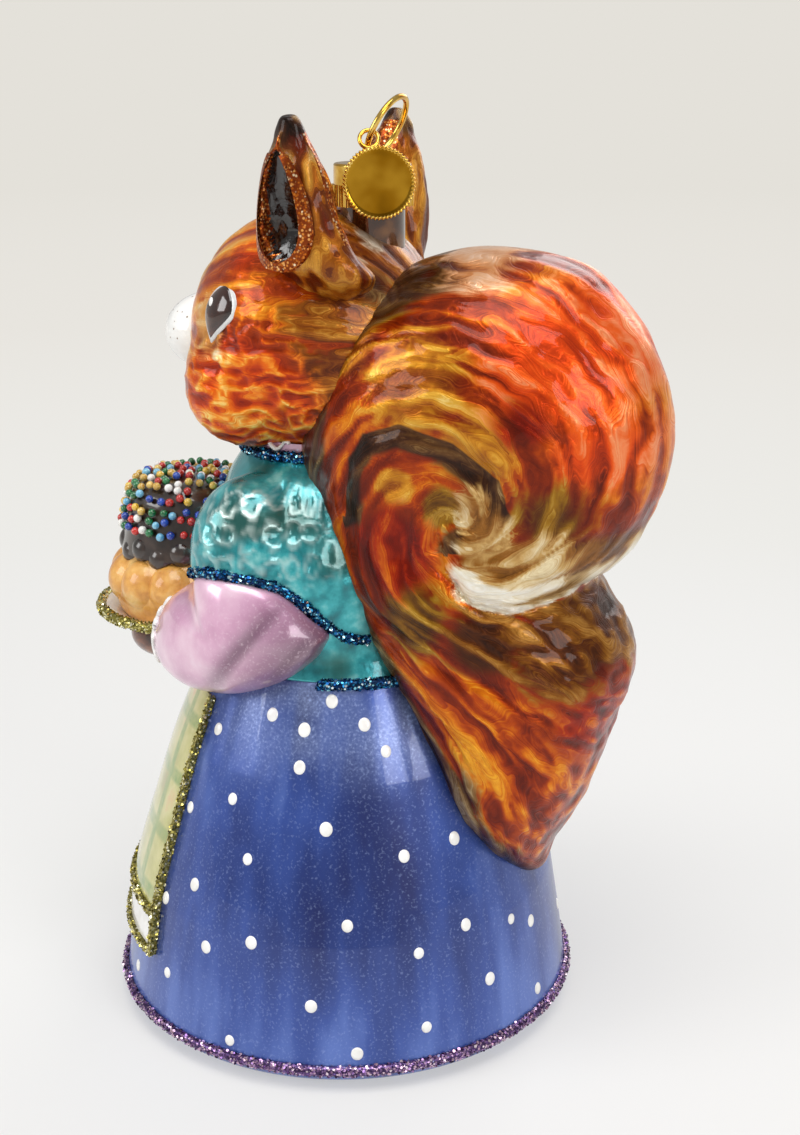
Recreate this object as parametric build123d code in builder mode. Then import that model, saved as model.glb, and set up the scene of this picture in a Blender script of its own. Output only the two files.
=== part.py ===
"""Blown glass squirrel figurine with a cake, a metal cap, a hanging ring and a round tag.

The squirrel stands on its closed skirt and faces -Y, its left hand is on +X, its tail on +Y, and +Z is up.
The origin is the centre of the flat base. Sizes are in millimetres.
"""

import os
from math import cos, degrees, pi, radians, sin

from build123d import *

os.makedirs("parts", exist_ok=True)

# Glass and joints between its painted sections
glass_wall = 1.5
seam = 0.1
line_clearance = 0.25
running_gap = 0.3
overrun = 2.0
half_turn = 180
sliver_share = 0.1

# Skirt
hem_radius = 41.3
hem_height = 3.2
base_radius = 36.0
waist_height = 66.0
waist_radius = 23.5
skirt_shares = (
    (0.995, 0.073),
    (0.966, 0.188),
    (0.920, 0.370),
    (0.886, 0.447),
    (0.826, 0.564),
    (0.722, 0.761),
    (0.642, 0.885),
)

# Painted dots on the skirt, as an angle from the front and a share of the waist height
dot_radius = 1.05
dot_height = 0.35
left_dot_shares = (
    (64, 0.845), (87, 0.915), (110, 0.960), (100, 0.888), (122, 0.905), (129, 0.838),
    (99.5, 0.800), (77.5, 0.697), (60, 0.632), (109, 0.660), (148, 0.600), (131.5, 0.585),
    (86, 0.565), (69.5, 0.462), (58.5, 0.386), (163, 0.345), (147, 0.385), (115, 0.430),
    (90, 0.367), (76.5, 0.321), (133, 0.345), (63, 0.197), (153, 0.220), (106, 0.223),
    (134, 0.148), (85.5, 0.095), (117, 0.100), (46, 0.130), (24, 0.110), (6, 0.165),
    (172, 0.300), (171, 0.110),
)
right_dot_shares = (
    (62, 0.800), (80, 0.900), (101, 0.870), (119, 0.930), (92, 0.760), (126, 0.810),
    (72, 0.680), (107, 0.680), (138, 0.560), (121, 0.560), (60, 0.560), (88, 0.600),
    (74, 0.440), (150, 0.400), (128, 0.410), (104, 0.460), (60, 0.330), (90, 0.330),
    (115, 0.290), (141, 0.270), (163, 0.220), (72, 0.200), (98, 0.180), (125, 0.150),
    (52, 0.120), (35, 0.150), (15, 0.090), (84, 0.090), (148, 0.120), (110, 0.090),
)

# Apron over the front of the skirt
apron_angle = 55
apron_thickness = 0.8
apron_trim_height = 1.4
apron_trim_width = 1.3
apron_hem_height = 21.5
flounce_hem_height = 14.4

# Bodice, as rings up the body
neck_height = 101.0
neck_radius = 13.0
neck_y = -4.3
bodice_rings_shares = (
    (0.29, -0.042, 1.000, 0.850),
    (0.57, -0.106, 1.043, 0.790),
    (0.80, -0.160, 0.895, 0.702),
)
shoulder_centre = (18.5, -8.5, 85.0)
shoulder_radii = (9.5, 10.5, 14.0)

# Sleeves, cuffs and paws
sleeve_centre = (21.0, -10.5, 71.5)
sleeve_radii = (10.0, 18.0, 12.0)
sleeve_turn = 20
cuff_place = 10.0
cuff_tilt = 32
cuff_width = 1.8
cuff_height = 0.9
paw_centre = (11.0, -31.0, 66.0)
paw_radii = (4.6, 6.0, 4.2)

# Collar and lace round the neck
collar_radius = 12.3
collar_height = 6.0
lace_width = 1.0
lace_low = 1.6
lace_tall = 1.6

# Glitter lines
trim_radius = 0.9
crease_trim = 0.95

# Head
head_centre = (0, -4.3, 121.0)
head_radii = (21.5, 21.5, 21.0)
cheek_centre = (9.5, -12.5, 113.2)
cheek_radius = 11.0
neck_opening = 9.5
muzzle_centre = (0, -25.0, 119.7)
muzzle_radii = (8.5, 8.0, 6.8)
nose_centre = (0, -32.2, 122.2)
nose_radii = (2.6, 1.6, 1.9)
eye_angle = 66
eye_lift = 15
eye_radii = (4.0, 4.7, 1.1)

# Ears
ear_root = (16.5, 1.2, 131.0)
ear_tip = (21.2, 1.5, 157.0)
ear_turn = 22
ear_width = 7.4
ear_depth = 5.6
ear_shares = ((0.0, 1.0, 1.0), (0.36, 0.95, 0.9), (0.66, 0.70, 0.7), (0.87, 0.40, 0.42), (1.0, 0.17, 0.2))
ear_hollow_shares = ((0.14, 0.30, 0.30), (0.30, 0.66, 0.62), (0.52, 0.60, 0.60), (0.70, 0.36, 0.40), (0.80, 0.12, 0.16))
ear_hollow_shift = 3.3
ear_trim_width = 1.3
ear_trim_height = 0.5

# Tail, as rings from its tip on the skirt up over the curl, with a dimple on each side
tail_height = 136.0
tail_width = 23.5
tail_rings_shares = (
    (0.204, 1.515, 0.085, 0.085),
    (0.244, 1.481, 0.404, 0.238),
    (0.316, 1.434, 0.702, 0.489),
    (0.399, 1.391, 0.830, 0.694),
    (0.485, 1.281, 0.915, 0.864),
    (0.551, 1.119, 0.936, 0.940),
    (0.596, 1.000, 0.957, 0.970),
    (0.654, 1.034, 0.970, 1.179),
    (0.721, 1.077, 1.000, 1.323),
    (0.787, 1.098, 1.000, 1.357),
    (0.846, 1.111, 0.957, 1.285),
    (0.897, 1.123, 0.872, 1.151),
    (0.941, 1.174, 0.702, 0.906),
    (0.974, 1.234, 0.489, 0.668),
    (0.997, 1.243, 0.213, 0.289),
)
tail_middle_share = 0.6
dimple_centre = (25.0, 30.0, 96.0)
dimple_radii = (6.0, 6.6, 6.6)

# Cake on its plate
cake_y = -30.5
plate_radius = 16.6
plate_rim_height = 69.6
plate_foot_radius = 9.5
plate_foot_height = 65.4
plate_thickness = 1.1
sponge_foot_radius = 12.0
sponge_bulge_radius = 14.5
sponge_bulge_height = 74.5
lobe_count = 12
lobe_radius = 5.2
icing_low = 80.0
icing_top = 93.0
icing_thickness = 1.3
icing_round = 5.0
icing_flat_radius = 6.2
icing_slant = 12
drip_count = 9
drip_radius = 2.7
drip_lift_share = 0.45
drip_proud = 0.35

# Sugar beads, in rings over the icing
bead_radius = 0.75
bead_clearance = 0.05
bead_pitch = 2.05
bead_low = 84.5
bead_colours = ("red", "blue", "light_blue", "green", "gold", "white", "yellow")

# Glass neck, cap, clip, ring and tag
spout_y = 6.0
spout_radius = 5.4
spout_bore = 4.0
spout_top = 148.3
cap_radius = 6.4
cap_top = 149.0
cap_height = 6.8
cap_sheet = 0.4
cap_flute_count = 24
cap_flute_radius = 0.45
clip_wire = 0.45
clip_half_width = 1.6
clip_hole_clearance = 0.1
clip_leg_bend = 145.0
clip_leg_end = 130.0
clip_leg_spread = 3.1
ring_radius = 5.45
ring_wire = 0.5
ring_lean = 28
tag_place = 70
tag_view_turn = 25
tag_tilt = 27
tag_roll = 11.5
tag_radius = 6.35
tag_thickness = 0.9
tag_rim_width = 0.55
tag_rim_height = 0.12
eyelet_radius = 1.5
eyelet_wire = 0.35
eyelet_overlap = 0.25


def ellipsoid(centre, radii):
    """Return an ellipsoid with its axes along X, Y and Z."""
    with BuildPart() as form:
        Sphere(1)
        scale(by=radii)
    return Pos(*centre) * form.part


def grown(radii, grow):
    """Return the three radii, each grown by the same thickness."""
    return tuple(radius + grow for radius in radii)


def mirrored(point, side):
    """Return a point on the left side, or its mirror image for side -1."""
    return (side * point[0], point[1], point[2])


def skirt_outline(grow):
    """Return the points of the skirt's side, from the hem to the waist, as radius and height."""
    side = [(radius * hem_radius + grow, height * waist_height) for radius, height in skirt_shares]
    return [(hem_radius + grow, hem_height), *side, (waist_radius + grow, waist_height)]


def skirt_form(grow):
    """Skirt with its closed base, grown outwards by a thickness, or drawn in by a negative one."""
    outline = skirt_outline(grow)
    with BuildPart() as form:
        with BuildSketch(Plane.XZ):
            with BuildLine():
                Spline(*outline)
                Line(outline[-1], (0, waist_height))
                Line((0, waist_height), (0, -grow))
                Line((0, -grow), (base_radius, -grow))
                EllipticalCenterArc(
                    (base_radius, hem_height),
                    hem_radius - base_radius + grow,
                    hem_height + grow,
                    start_angle=270,
                    arc_size=90,
                )
            make_face()
        revolve(axis=Axis.Z)
    return form.part


def skirt_radius(height):
    """Return the skirt's radius at a height, between the points of its outline."""
    outline = skirt_outline(0)
    for (low_radius, low), (high_radius, high) in zip(outline, outline[1:]):
        if low <= height <= high:
            return low_radius + (high_radius - low_radius) * (height - low) / (high - low)
    return hem_radius


def skirt_band(low, high, inner, outer, start, end):
    """Layer on the skirt between two heights and between two angles, measured from the front."""
    reach = 4 * hem_radius
    corners = [(0, 0)]
    for angle in (start, (start + end) / 2, end):
        corners.append((reach * sin(radians(angle)), -reach * cos(radians(angle))))
    with BuildPart() as form:
        add(skirt_form(outer))
        add(skirt_form(inner), mode=Mode.SUBTRACT)
        with BuildSketch(Plane.XY.offset(low)):
            with BuildLine():
                Polyline(*corners, close=True)
            make_face()
        extrude(amount=high - low, mode=Mode.INTERSECT)
    return form.part


def bodice_form(grow):
    """Bodice from the waist to the neck, with its two shoulders."""
    rings = [(waist_height, 0, waist_radius, waist_radius)]
    for height, shift, width, depth in bodice_rings_shares:
        z = waist_height + height * (neck_height - waist_height)
        rings.append((z, shift * waist_radius, width * waist_radius, depth * waist_radius))
    rings.append((neck_height + max(grow, 0), neck_y, neck_radius, neck_radius))
    with BuildPart() as form:
        for z, y, width, depth in rings:
            with BuildSketch(Plane.XY.offset(z)):
                with Locations((0, y)):
                    Ellipse(width + grow, depth + grow)
        loft()
        for side in (1, -1):
            add(ellipsoid(mirrored(shoulder_centre, side), grown(shoulder_radii, grow)))
    return form.part


def sleeve_form(side, grow):
    """Puffed sleeve, turned inwards to the front."""
    place = Pos(*mirrored(sleeve_centre, side)) * Rot(0, 0, -side * sleeve_turn)
    return place * ellipsoid((0, 0, 0), grown(sleeve_radii, grow))


def head_form(grow):
    """Head with its two cheeks."""
    with BuildPart() as form:
        add(ellipsoid(head_centre, grown(head_radii, grow)))
        for side in (1, -1):
            with Locations(mirrored(cheek_centre, side)):
                Sphere(cheek_radius + grow)
    return form.part


def muzzle_form(grow):
    """Round muzzle on the front of the head."""
    return ellipsoid(muzzle_centre, grown(muzzle_radii, grow))


def ear_plane(side):
    """Plane at the ear's root, its X along the ear's width and its Z to the tip."""
    root = Vector(*mirrored(ear_root, side))
    rise = Vector(*mirrored(ear_tip, side)) - root
    width = Vector(side * sin(radians(ear_turn)), cos(radians(ear_turn)), 0)
    return Plane(origin=root, x_dir=width, z_dir=rise)


def ear_loft(side, shares, shift, grow):
    """Tapering form up the ear, moved across the ear's depth by the shift."""
    base = ear_plane(side)
    height = (Vector(*ear_tip) - Vector(*ear_root)).length
    with BuildPart() as form:
        for rise, width, depth in shares:
            with BuildSketch(base.offset(rise * height)):
                with Locations((0, shift)):
                    Ellipse(width * ear_width + grow, depth * ear_depth + grow)
        loft()
    return form.part


def ear_form(side, grow):
    """Outer form of an ear."""
    return ear_loft(side, ear_shares, 0, grow)


def ear_hollow(side, grow):
    """Hollow of an ear, open on its outer front side."""
    return ear_loft(side, ear_hollow_shares, -side * ear_hollow_shift, grow)


def tail_form(grow):
    """Tail from its tip on the skirt up over the large curl, with a dimple on each side of it."""
    middle = tail_middle_share * tail_height
    squeeze = 1 + 2 * grow / tail_height
    with BuildPart() as form:
        for height, y, width, depth in tail_rings_shares:
            z = middle + (height * tail_height - middle) * squeeze
            with BuildSketch(Plane.XY.offset(z)):
                with Locations((0, y * tail_width)):
                    Ellipse(width * tail_width + grow, depth * tail_width + grow)
        loft()
        for side in (1, -1):
            add(ellipsoid(mirrored(dimple_centre, side), grown(dimple_radii, -grow)), mode=Mode.SUBTRACT)
    return form.part


def icing_outline(grow):
    """Return the icing's rounded shoulder and the foot of its slanted side, as radius and height."""
    bend = icing_round + grow
    centre = (icing_flat_radius, icing_top - icing_round)
    slant = radians(icing_slant)
    top = (centre[0], centre[1] + bend)
    middle = (centre[0] + bend * sin(pi / 4), centre[1] + bend * cos(pi / 4))
    side = (centre[0] + bend * cos(slant), centre[1] + bend * sin(slant))
    foot = (side[0] + (side[1] - icing_low) * sin(slant) / cos(slant), icing_low)
    return top, middle, side, foot


def icing_form(grow):
    """Outer form of the icing, down to where it ends on the sponge."""
    top, middle, side, foot = icing_outline(grow)
    with BuildPart() as form:
        with BuildSketch(Plane.XZ):
            with BuildLine():
                Line((0, top[1]), top)
                ThreePointArc(top, middle, side)
                Line(side, foot)
                Line(foot, (0, foot[1]))
                Line((0, foot[1]), (0, top[1]))
            make_face()
        revolve(axis=Axis.Z)
    return Pos(0, cake_y, 0) * form.part


def sponge_form(grow):
    """Sponge with its row of lobes and its core under the icing."""
    top, middle, side, foot = icing_outline(grow - icing_thickness)
    low = plate_foot_height + plate_thickness + seam
    with BuildPart() as form:
        with BuildSketch(Plane.XZ):
            with BuildLine():
                Line((0, top[1]), top)
                ThreePointArc(top, middle, side)
                Line(side, foot)
                ThreePointArc(foot, (sponge_bulge_radius + grow, sponge_bulge_height), (sponge_foot_radius + grow, low))
                Line((sponge_foot_radius + grow, low), (0, low))
                Line((0, low), (0, top[1]))
            make_face()
        revolve(axis=Axis.Z)
        with PolarLocations(sponge_bulge_radius - lobe_radius + icing_thickness, lobe_count, start_angle=lobe_count):
            with Locations((0, 0, sponge_bulge_height)):
                Sphere(lobe_radius + grow)
    return Pos(0, cake_y, 0) * form.part


def plate_form(grow):
    """Shallow plate, grown on all sides."""
    with BuildPart() as form:
        with BuildSketch(Plane.XZ):
            with BuildLine():
                under = (plate_foot_radius + grow, plate_foot_height - grow)
                rim_under = (plate_radius + grow, plate_rim_height - plate_thickness - grow)
                rim_over = (plate_radius + grow, plate_rim_height + grow)
                over = (plate_foot_radius + grow, plate_foot_height + plate_thickness + grow)
                Polyline((0, under[1]), under, rim_under, rim_over, over, (0, over[1]), close=True)
            make_face()
        revolve(axis=Axis.Z)
    return Pos(0, cake_y, 0) * form.part


def crease_line(first, second, first_seam, second_seam, bounds):
    """Bead of glue and glitter lying in the crease between two grown forms."""
    with BuildPart() as form:
        add(first)
        add(second, mode=Mode.INTERSECT)
        add(first_seam, mode=Mode.SUBTRACT)
        add(second_seam, mode=Mode.SUBTRACT)
        if bounds is not None:
            add(bounds, mode=Mode.INTERSECT)
    return form.part


def finish(piece, name):
    """Label a piece and write it under its node's name, without slivers that its cuts left loose."""
    solids = piece.part.solids().sort_by(SortBy.VOLUME)
    kept = [solid for solid in solids if solid.volume > sliver_share * solids[-1].volume]
    whole = Compound(kept) if len(kept) > 1 else kept[0]
    whole.label = name
    export_step(whole, f"parts/{name}.step")


def ring_form(centre, radius, thickness):
    """Round bead of glue lying in a level circle."""
    with BuildPart() as form:
        with Locations(centre):
            Torus(radius, thickness)
    return form.part


# Forms that cut their neighbours
skirt_cut = skirt_form(seam)
bodice_cut = bodice_form(seam)
head_cut = head_form(seam)
tail_cut = tail_form(seam)
muzzle_cut = muzzle_form(seam)
icing_cut = icing_form(seam)
sponge_cut = sponge_form(seam)
plate_cut = plate_form(seam)
waist_ring = ((0, 0, waist_height), waist_radius + trim_radius / 2)
neck_ring = ((0, neck_y, neck_height + trim_radius / 2), neck_radius)
waist_ring_cut = ring_form(*waist_ring, trim_radius + seam)
neck_ring_cut = ring_form(*neck_ring, trim_radius + seam)

# Skirt
with BuildPart() as skirt:
    add(skirt_form(0))
    add(skirt_form(-glass_wall), mode=Mode.SUBTRACT)
finish(skirt, "skirt")

# Painted dots
with BuildPart() as skirt_dots:
    dot_places = []
    for side, dots in ((1, left_dot_shares), (-1, right_dot_shares)):
        for angle, share in dots:
            height = share * waist_height
            outwards = Vector(side * sin(radians(angle)), -cos(radians(angle)), 0)
            dot_places.append(Plane(origin=outwards * skirt_radius(height) + Vector(0, 0, height), z_dir=outwards))
    with Locations(*dot_places):
        Cylinder(dot_radius, 2 * overrun)
    add(skirt_form(dot_height), mode=Mode.INTERSECT)
    add(skirt_cut, mode=Mode.SUBTRACT)
finish(skirt_dots, "skirt_dots")

# Apron: printed panel, white flounce and glitter edges
apron_top = waist_height - 2 * trim_radius
panel_low = apron_hem_height + apron_trim_width
flounce_low = flounce_hem_height + apron_trim_width
with BuildPart() as apron_panel:
    add(skirt_band(panel_low, apron_top, seam, apron_thickness, -apron_angle, apron_angle))
    for side in (1, -1):
        add(sleeve_form(side, seam), mode=Mode.SUBTRACT)
finish(apron_panel, "apron_panel")

with BuildPart() as apron_flounce:
    flounce_high = apron_hem_height - seam
    add(skirt_band(flounce_low, flounce_high, seam, apron_thickness, -apron_angle, apron_angle))
finish(apron_flounce, "apron_flounce")

strip_start = apron_angle + degrees(seam / hem_radius)
strip_end = apron_angle + degrees(apron_trim_width / hem_radius)
with BuildPart() as apron_trim:
    for low in (flounce_hem_height, apron_hem_height):
        high = low + apron_trim_width - seam
        add(skirt_band(low, high, seam, apron_trim_height, -apron_angle, apron_angle))
    for side in (1, -1):
        turns = sorted((side * strip_start, side * strip_end))
        add(skirt_band(flounce_hem_height, apron_top, seam, apron_trim_height, *turns))
        add(sleeve_form(side, seam), mode=Mode.SUBTRACT)
finish(apron_trim, "apron_trim")

# Bodice
with BuildPart() as bodice:
    add(bodice_form(0))
    add(bodice_form(-glass_wall), mode=Mode.SUBTRACT)
finish(bodice, "bodice")

# Glitter lines at the hem, the waist and the neck
with BuildPart() as hem_trim:
    with Locations((0, 0, hem_height + trim_radius / 2)):
        Torus(hem_radius, trim_radius)
    add(skirt_cut, mode=Mode.SUBTRACT)
finish(hem_trim, "hem_trim")

with BuildPart() as waist_trim:
    add(ring_form(*waist_ring, trim_radius))
    add(skirt_cut, mode=Mode.SUBTRACT)
    with Locations((0, 0, waist_height)):
        Cylinder(
            waist_radius + line_clearance,
            trim_radius + overrun,
            align=(Align.CENTER, Align.CENTER, Align.MIN),
            mode=Mode.SUBTRACT,
        )
    add(tail_cut, mode=Mode.SUBTRACT)
    add(plate_cut, mode=Mode.SUBTRACT)
    add(sponge_form(line_clearance), mode=Mode.SUBTRACT)
    for side in (1, -1):
        add(sleeve_form(side, cuff_height + 2 * seam), mode=Mode.SUBTRACT)
finish(waist_trim, "waist_trim")

with BuildPart() as neckline_trim:
    add(ring_form(*neck_ring, trim_radius))
    with Locations((0, neck_y, neck_height)):
        Cylinder(collar_radius + seam, 4 * trim_radius, mode=Mode.SUBTRACT)
    add(bodice_cut, mode=Mode.SUBTRACT)
    add(head_cut, mode=Mode.SUBTRACT)
finish(neckline_trim, "neckline_trim")

# Collar and lace
with BuildPart() as collar:
    with Locations((0, neck_y, neck_height)):
        Cylinder(collar_radius, collar_height, align=(Align.CENTER, Align.CENTER, Align.MIN))
        Cylinder(
            collar_radius - glass_wall,
            collar_height,
            align=(Align.CENTER, Align.CENTER, Align.MIN),
            mode=Mode.SUBTRACT,
        )
    add(head_cut, mode=Mode.SUBTRACT)
finish(collar, "collar")

with BuildPart() as neck_lace:
    with BuildSketch(Plane.XY.offset(neck_height + lace_low)):
        with Locations((0, neck_y)):
            Circle(collar_radius + seam + lace_width)
            Circle(collar_radius + seam, mode=Mode.SUBTRACT)
            Rectangle(4 * collar_radius, 2 * collar_radius, align=(Align.CENTER, Align.MAX), mode=Mode.INTERSECT)
    extrude(amount=lace_tall)
    add(head_cut, mode=Mode.SUBTRACT)
finish(neck_lace, "neck_lace")

# Sleeves with their cuffs, armhole lines and paws
for side, hand in ((1, "left"), (-1, "right")):
    sleeve_cut = sleeve_form(side, seam)
    forwards = Vector(-side * sin(radians(sleeve_turn)), -cos(radians(sleeve_turn)), 0)
    cuff_normal = forwards * cos(radians(cuff_tilt)) + Vector(0, 0, sin(radians(cuff_tilt)))
    cuff_plane = Plane(
        origin=Vector(*mirrored(sleeve_centre, side)) + forwards * cuff_place,
        x_dir=Vector(0, 0, 1).cross(forwards),
        z_dir=cuff_normal,
    )
    sleeve_side = 4 * sleeve_radii[1]

    with BuildPart() as sleeve:
        add(sleeve_form(side, 0))
        add(sleeve_form(side, -glass_wall), mode=Mode.SUBTRACT)
        add(skirt_cut, mode=Mode.SUBTRACT)
        add(bodice_cut, mode=Mode.SUBTRACT)
        add(tail_cut, mode=Mode.SUBTRACT)
        add(plate_cut, mode=Mode.SUBTRACT)
        add(sponge_cut, mode=Mode.SUBTRACT)
    finish(sleeve, f"sleeve_{hand}")

    with BuildPart() as cuff:
        with BuildSketch(cuff_plane):
            Rectangle(sleeve_side, sleeve_side)
        extrude(amount=cuff_width)
        add(sleeve_form(side, cuff_height + seam), mode=Mode.INTERSECT)
        add(sleeve_cut, mode=Mode.SUBTRACT)
        add(skirt_cut, mode=Mode.SUBTRACT)
        add(bodice_cut, mode=Mode.SUBTRACT)
        add(plate_cut, mode=Mode.SUBTRACT)
        add(sponge_cut, mode=Mode.SUBTRACT)
        add(icing_cut, mode=Mode.SUBTRACT)
    finish(cuff, f"cuff_{hand}")

    with BuildPart() as cuff_room:
        with BuildSketch(cuff_plane.offset(-line_clearance)):
            Rectangle(sleeve_side, sleeve_side)
        extrude(amount=cuff_width + 2 * line_clearance)

    with BuildPart() as armhole_trim:
        add(crease_line(sleeve_form(side, crease_trim), bodice_form(crease_trim), sleeve_cut, bodice_cut, None))
        add(skirt_form(2 * trim_radius), mode=Mode.SUBTRACT)
        add(waist_ring_cut, mode=Mode.SUBTRACT)
        add(sponge_cut, mode=Mode.SUBTRACT)
        add(icing_cut, mode=Mode.SUBTRACT)
        add(tail_cut, mode=Mode.SUBTRACT)
        add(cuff_room.part, mode=Mode.SUBTRACT)
    finish(armhole_trim, f"armhole_trim_{hand}")

    with BuildPart() as paw:
        add(ellipsoid(mirrored(paw_centre, side), paw_radii))
        add(plate_cut, mode=Mode.SUBTRACT)
        add(sleeve_cut, mode=Mode.SUBTRACT)
        add(sponge_cut, mode=Mode.SUBTRACT)
    finish(paw, f"paw_{hand}")

# Head, open below to the body and above to the glass neck
with BuildPart() as head:
    add(head_form(0))
    add(head_form(-glass_wall), mode=Mode.SUBTRACT)
    with Locations((0, neck_y, neck_height)):
        Cylinder(neck_opening, 2 * collar_height, mode=Mode.SUBTRACT)
    with Locations((0, spout_y, spout_top)):
        Cylinder(
            spout_bore,
            head_radii[2],
            align=(Align.CENTER, Align.CENTER, Align.MAX),
            mode=Mode.SUBTRACT,
        )
finish(head, "head")

with BuildPart() as muzzle:
    add(muzzle_form(0))
    add(head_cut, mode=Mode.SUBTRACT)
finish(muzzle, "muzzle")

with BuildPart() as nose:
    add(ellipsoid(nose_centre, nose_radii))
    add(muzzle_cut, mode=Mode.SUBTRACT)
finish(nose, "nose")

for side, hand in ((1, "left"), (-1, "right")):
    eye_turn = radians(eye_angle)
    eye_rise = radians(eye_lift)
    outwards = Vector(side * sin(eye_turn) * cos(eye_rise), -cos(eye_turn) * cos(eye_rise), sin(eye_rise))
    eye_place = Plane(
        origin=Vector(*head_centre) + outwards * head_radii[0],
        x_dir=Vector(0, 0, 1).cross(outwards),
        z_dir=outwards,
    )
    with BuildPart() as eye:
        add(eye_place.location * ellipsoid((0, 0, 0), eye_radii))
        add(head_cut, mode=Mode.SUBTRACT)
    finish(eye, f"eye_{hand}")

    hollow_cut = ear_hollow(side, 0)
    with BuildPart() as ear:
        add(ear_form(side, 0))
        add(hollow_cut, mode=Mode.SUBTRACT)
        add(head_cut, mode=Mode.SUBTRACT)
    finish(ear, f"ear_{hand}")

    with BuildPart() as ear_trim:
        add(ear_form(side, ear_trim_height + seam))
        add(ear_hollow(side, ear_trim_width), mode=Mode.INTERSECT)
        add(ear_form(side, seam), mode=Mode.SUBTRACT)
        add(hollow_cut, mode=Mode.SUBTRACT)
        add(head_cut, mode=Mode.SUBTRACT)
    finish(ear_trim, f"ear_trim_{hand}")

# Tail, open where it joins the head and the body
with BuildPart() as tail:
    add(tail_form(0))
    add(tail_form(-glass_wall), mode=Mode.SUBTRACT)
    add(head_cut, mode=Mode.SUBTRACT)
    add(bodice_cut, mode=Mode.SUBTRACT)
    add(skirt_cut, mode=Mode.SUBTRACT)
    add(neck_ring_cut, mode=Mode.SUBTRACT)
    with Locations((0, neck_y, neck_height)):
        Cylinder(
            collar_radius + seam,
            collar_height,
            align=(Align.CENTER, Align.CENTER, Align.MIN),
            mode=Mode.SUBTRACT,
        )
finish(tail, "tail")

# Plate and cake, cut by the body behind them
with BuildPart() as cake_plate:
    add(plate_form(0))
    add(bodice_cut, mode=Mode.SUBTRACT)
    add(skirt_cut, mode=Mode.SUBTRACT)
finish(cake_plate, "cake_plate")

with BuildPart() as plate_trim:
    with Locations((0, cake_y, plate_rim_height - plate_thickness / 2)):
        Torus(plate_radius + trim_radius / 2, trim_radius)
    add(plate_cut, mode=Mode.SUBTRACT)
    add(bodice_form(crease_trim), mode=Mode.SUBTRACT)
    add(skirt_form(crease_trim), mode=Mode.SUBTRACT)
    for side in (1, -1):
        add(sleeve_form(side, crease_trim + seam), mode=Mode.SUBTRACT)
        add(ellipsoid(mirrored(paw_centre, side), grown(paw_radii, seam)), mode=Mode.SUBTRACT)
finish(plate_trim, "plate_trim")

with BuildPart() as cake_sponge:
    add(sponge_form(0))
    add(plate_cut, mode=Mode.SUBTRACT)
    add(bodice_cut, mode=Mode.SUBTRACT)
    add(skirt_cut, mode=Mode.SUBTRACT)
finish(cake_sponge, "cake_sponge")

with BuildPart() as cake_icing:
    add(icing_form(0))
    drip_ring = icing_outline(0)[3][0] + drip_proud - drip_radius
    with Locations((0, cake_y, icing_low)):
        with PolarLocations(drip_ring, drip_count):
            Sphere(drip_radius)
        with PolarLocations(drip_ring, drip_count, start_angle=half_turn / drip_count):
            with Locations((0, 0, drip_lift_share * drip_radius)):
                Sphere(drip_radius)
    add(sponge_cut, mode=Mode.SUBTRACT)
    add(bodice_cut, mode=Mode.SUBTRACT)
finish(cake_icing, "cake_icing")


def icing_place(distance):
    """Return the radius, height and tilt of a bead that lies a distance along the icing from its middle."""
    lift = bead_radius + bead_clearance
    slant = radians(icing_slant)
    bend = icing_round + lift
    round_end = icing_flat_radius + bend * (pi / 2 - slant)
    if distance <= icing_flat_radius:
        return distance, icing_top + lift
    if distance <= round_end:
        turn = (distance - icing_flat_radius) / bend
        return icing_flat_radius + bend * sin(turn), icing_top - icing_round + bend * cos(turn)
    down = distance - round_end
    radius = icing_flat_radius + bend * cos(slant) + down * sin(slant)
    return radius, icing_top - icing_round + bend * sin(slant) - down * cos(slant)


def bead_places():
    """Return the centres of all the sugar beads that lie clear of the body behind the cake."""
    places = []
    row = 0
    radius, height = icing_place(0)
    while height > bead_low:
        count = max(1, int(2 * pi * radius / bead_pitch))
        for step in range(count):
            angle = 2 * pi * (step + row / 2) / count
            places.append((radius * cos(angle), cake_y + radius * sin(angle), height))
        row += 1
        radius, height = icing_place(row * bead_pitch)
    return places


beads = bead_places()
bead_limit = bodice_form(bead_radius + bead_clearance)
for number, colour in enumerate(bead_colours):
    chosen = [
        place
        for index, place in enumerate(beads)
        if (5 * index + index // 3 + index * index // 11) % len(bead_colours) == number
        and not bead_limit.is_inside(place)
    ]
    print(colour, "beads:", len(chosen))
    if chosen:
        with BuildPart() as sprinkles:
            with Locations(*chosen):
                Sphere(bead_radius)
        finish(sprinkles, f"sprinkles_{colour}")

# Glass neck on the crown
with BuildPart() as glass_neck:
    with Locations((0, spout_y, spout_top)):
        Cylinder(spout_radius, head_radii[2], align=(Align.CENTER, Align.CENTER, Align.MAX))
        Cylinder(
            spout_bore,
            head_radii[2],
            align=(Align.CENTER, Align.CENTER, Align.MAX),
            mode=Mode.SUBTRACT,
        )
    add(head_cut, mode=Mode.SUBTRACT)
finish(glass_neck, "glass_neck")

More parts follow.
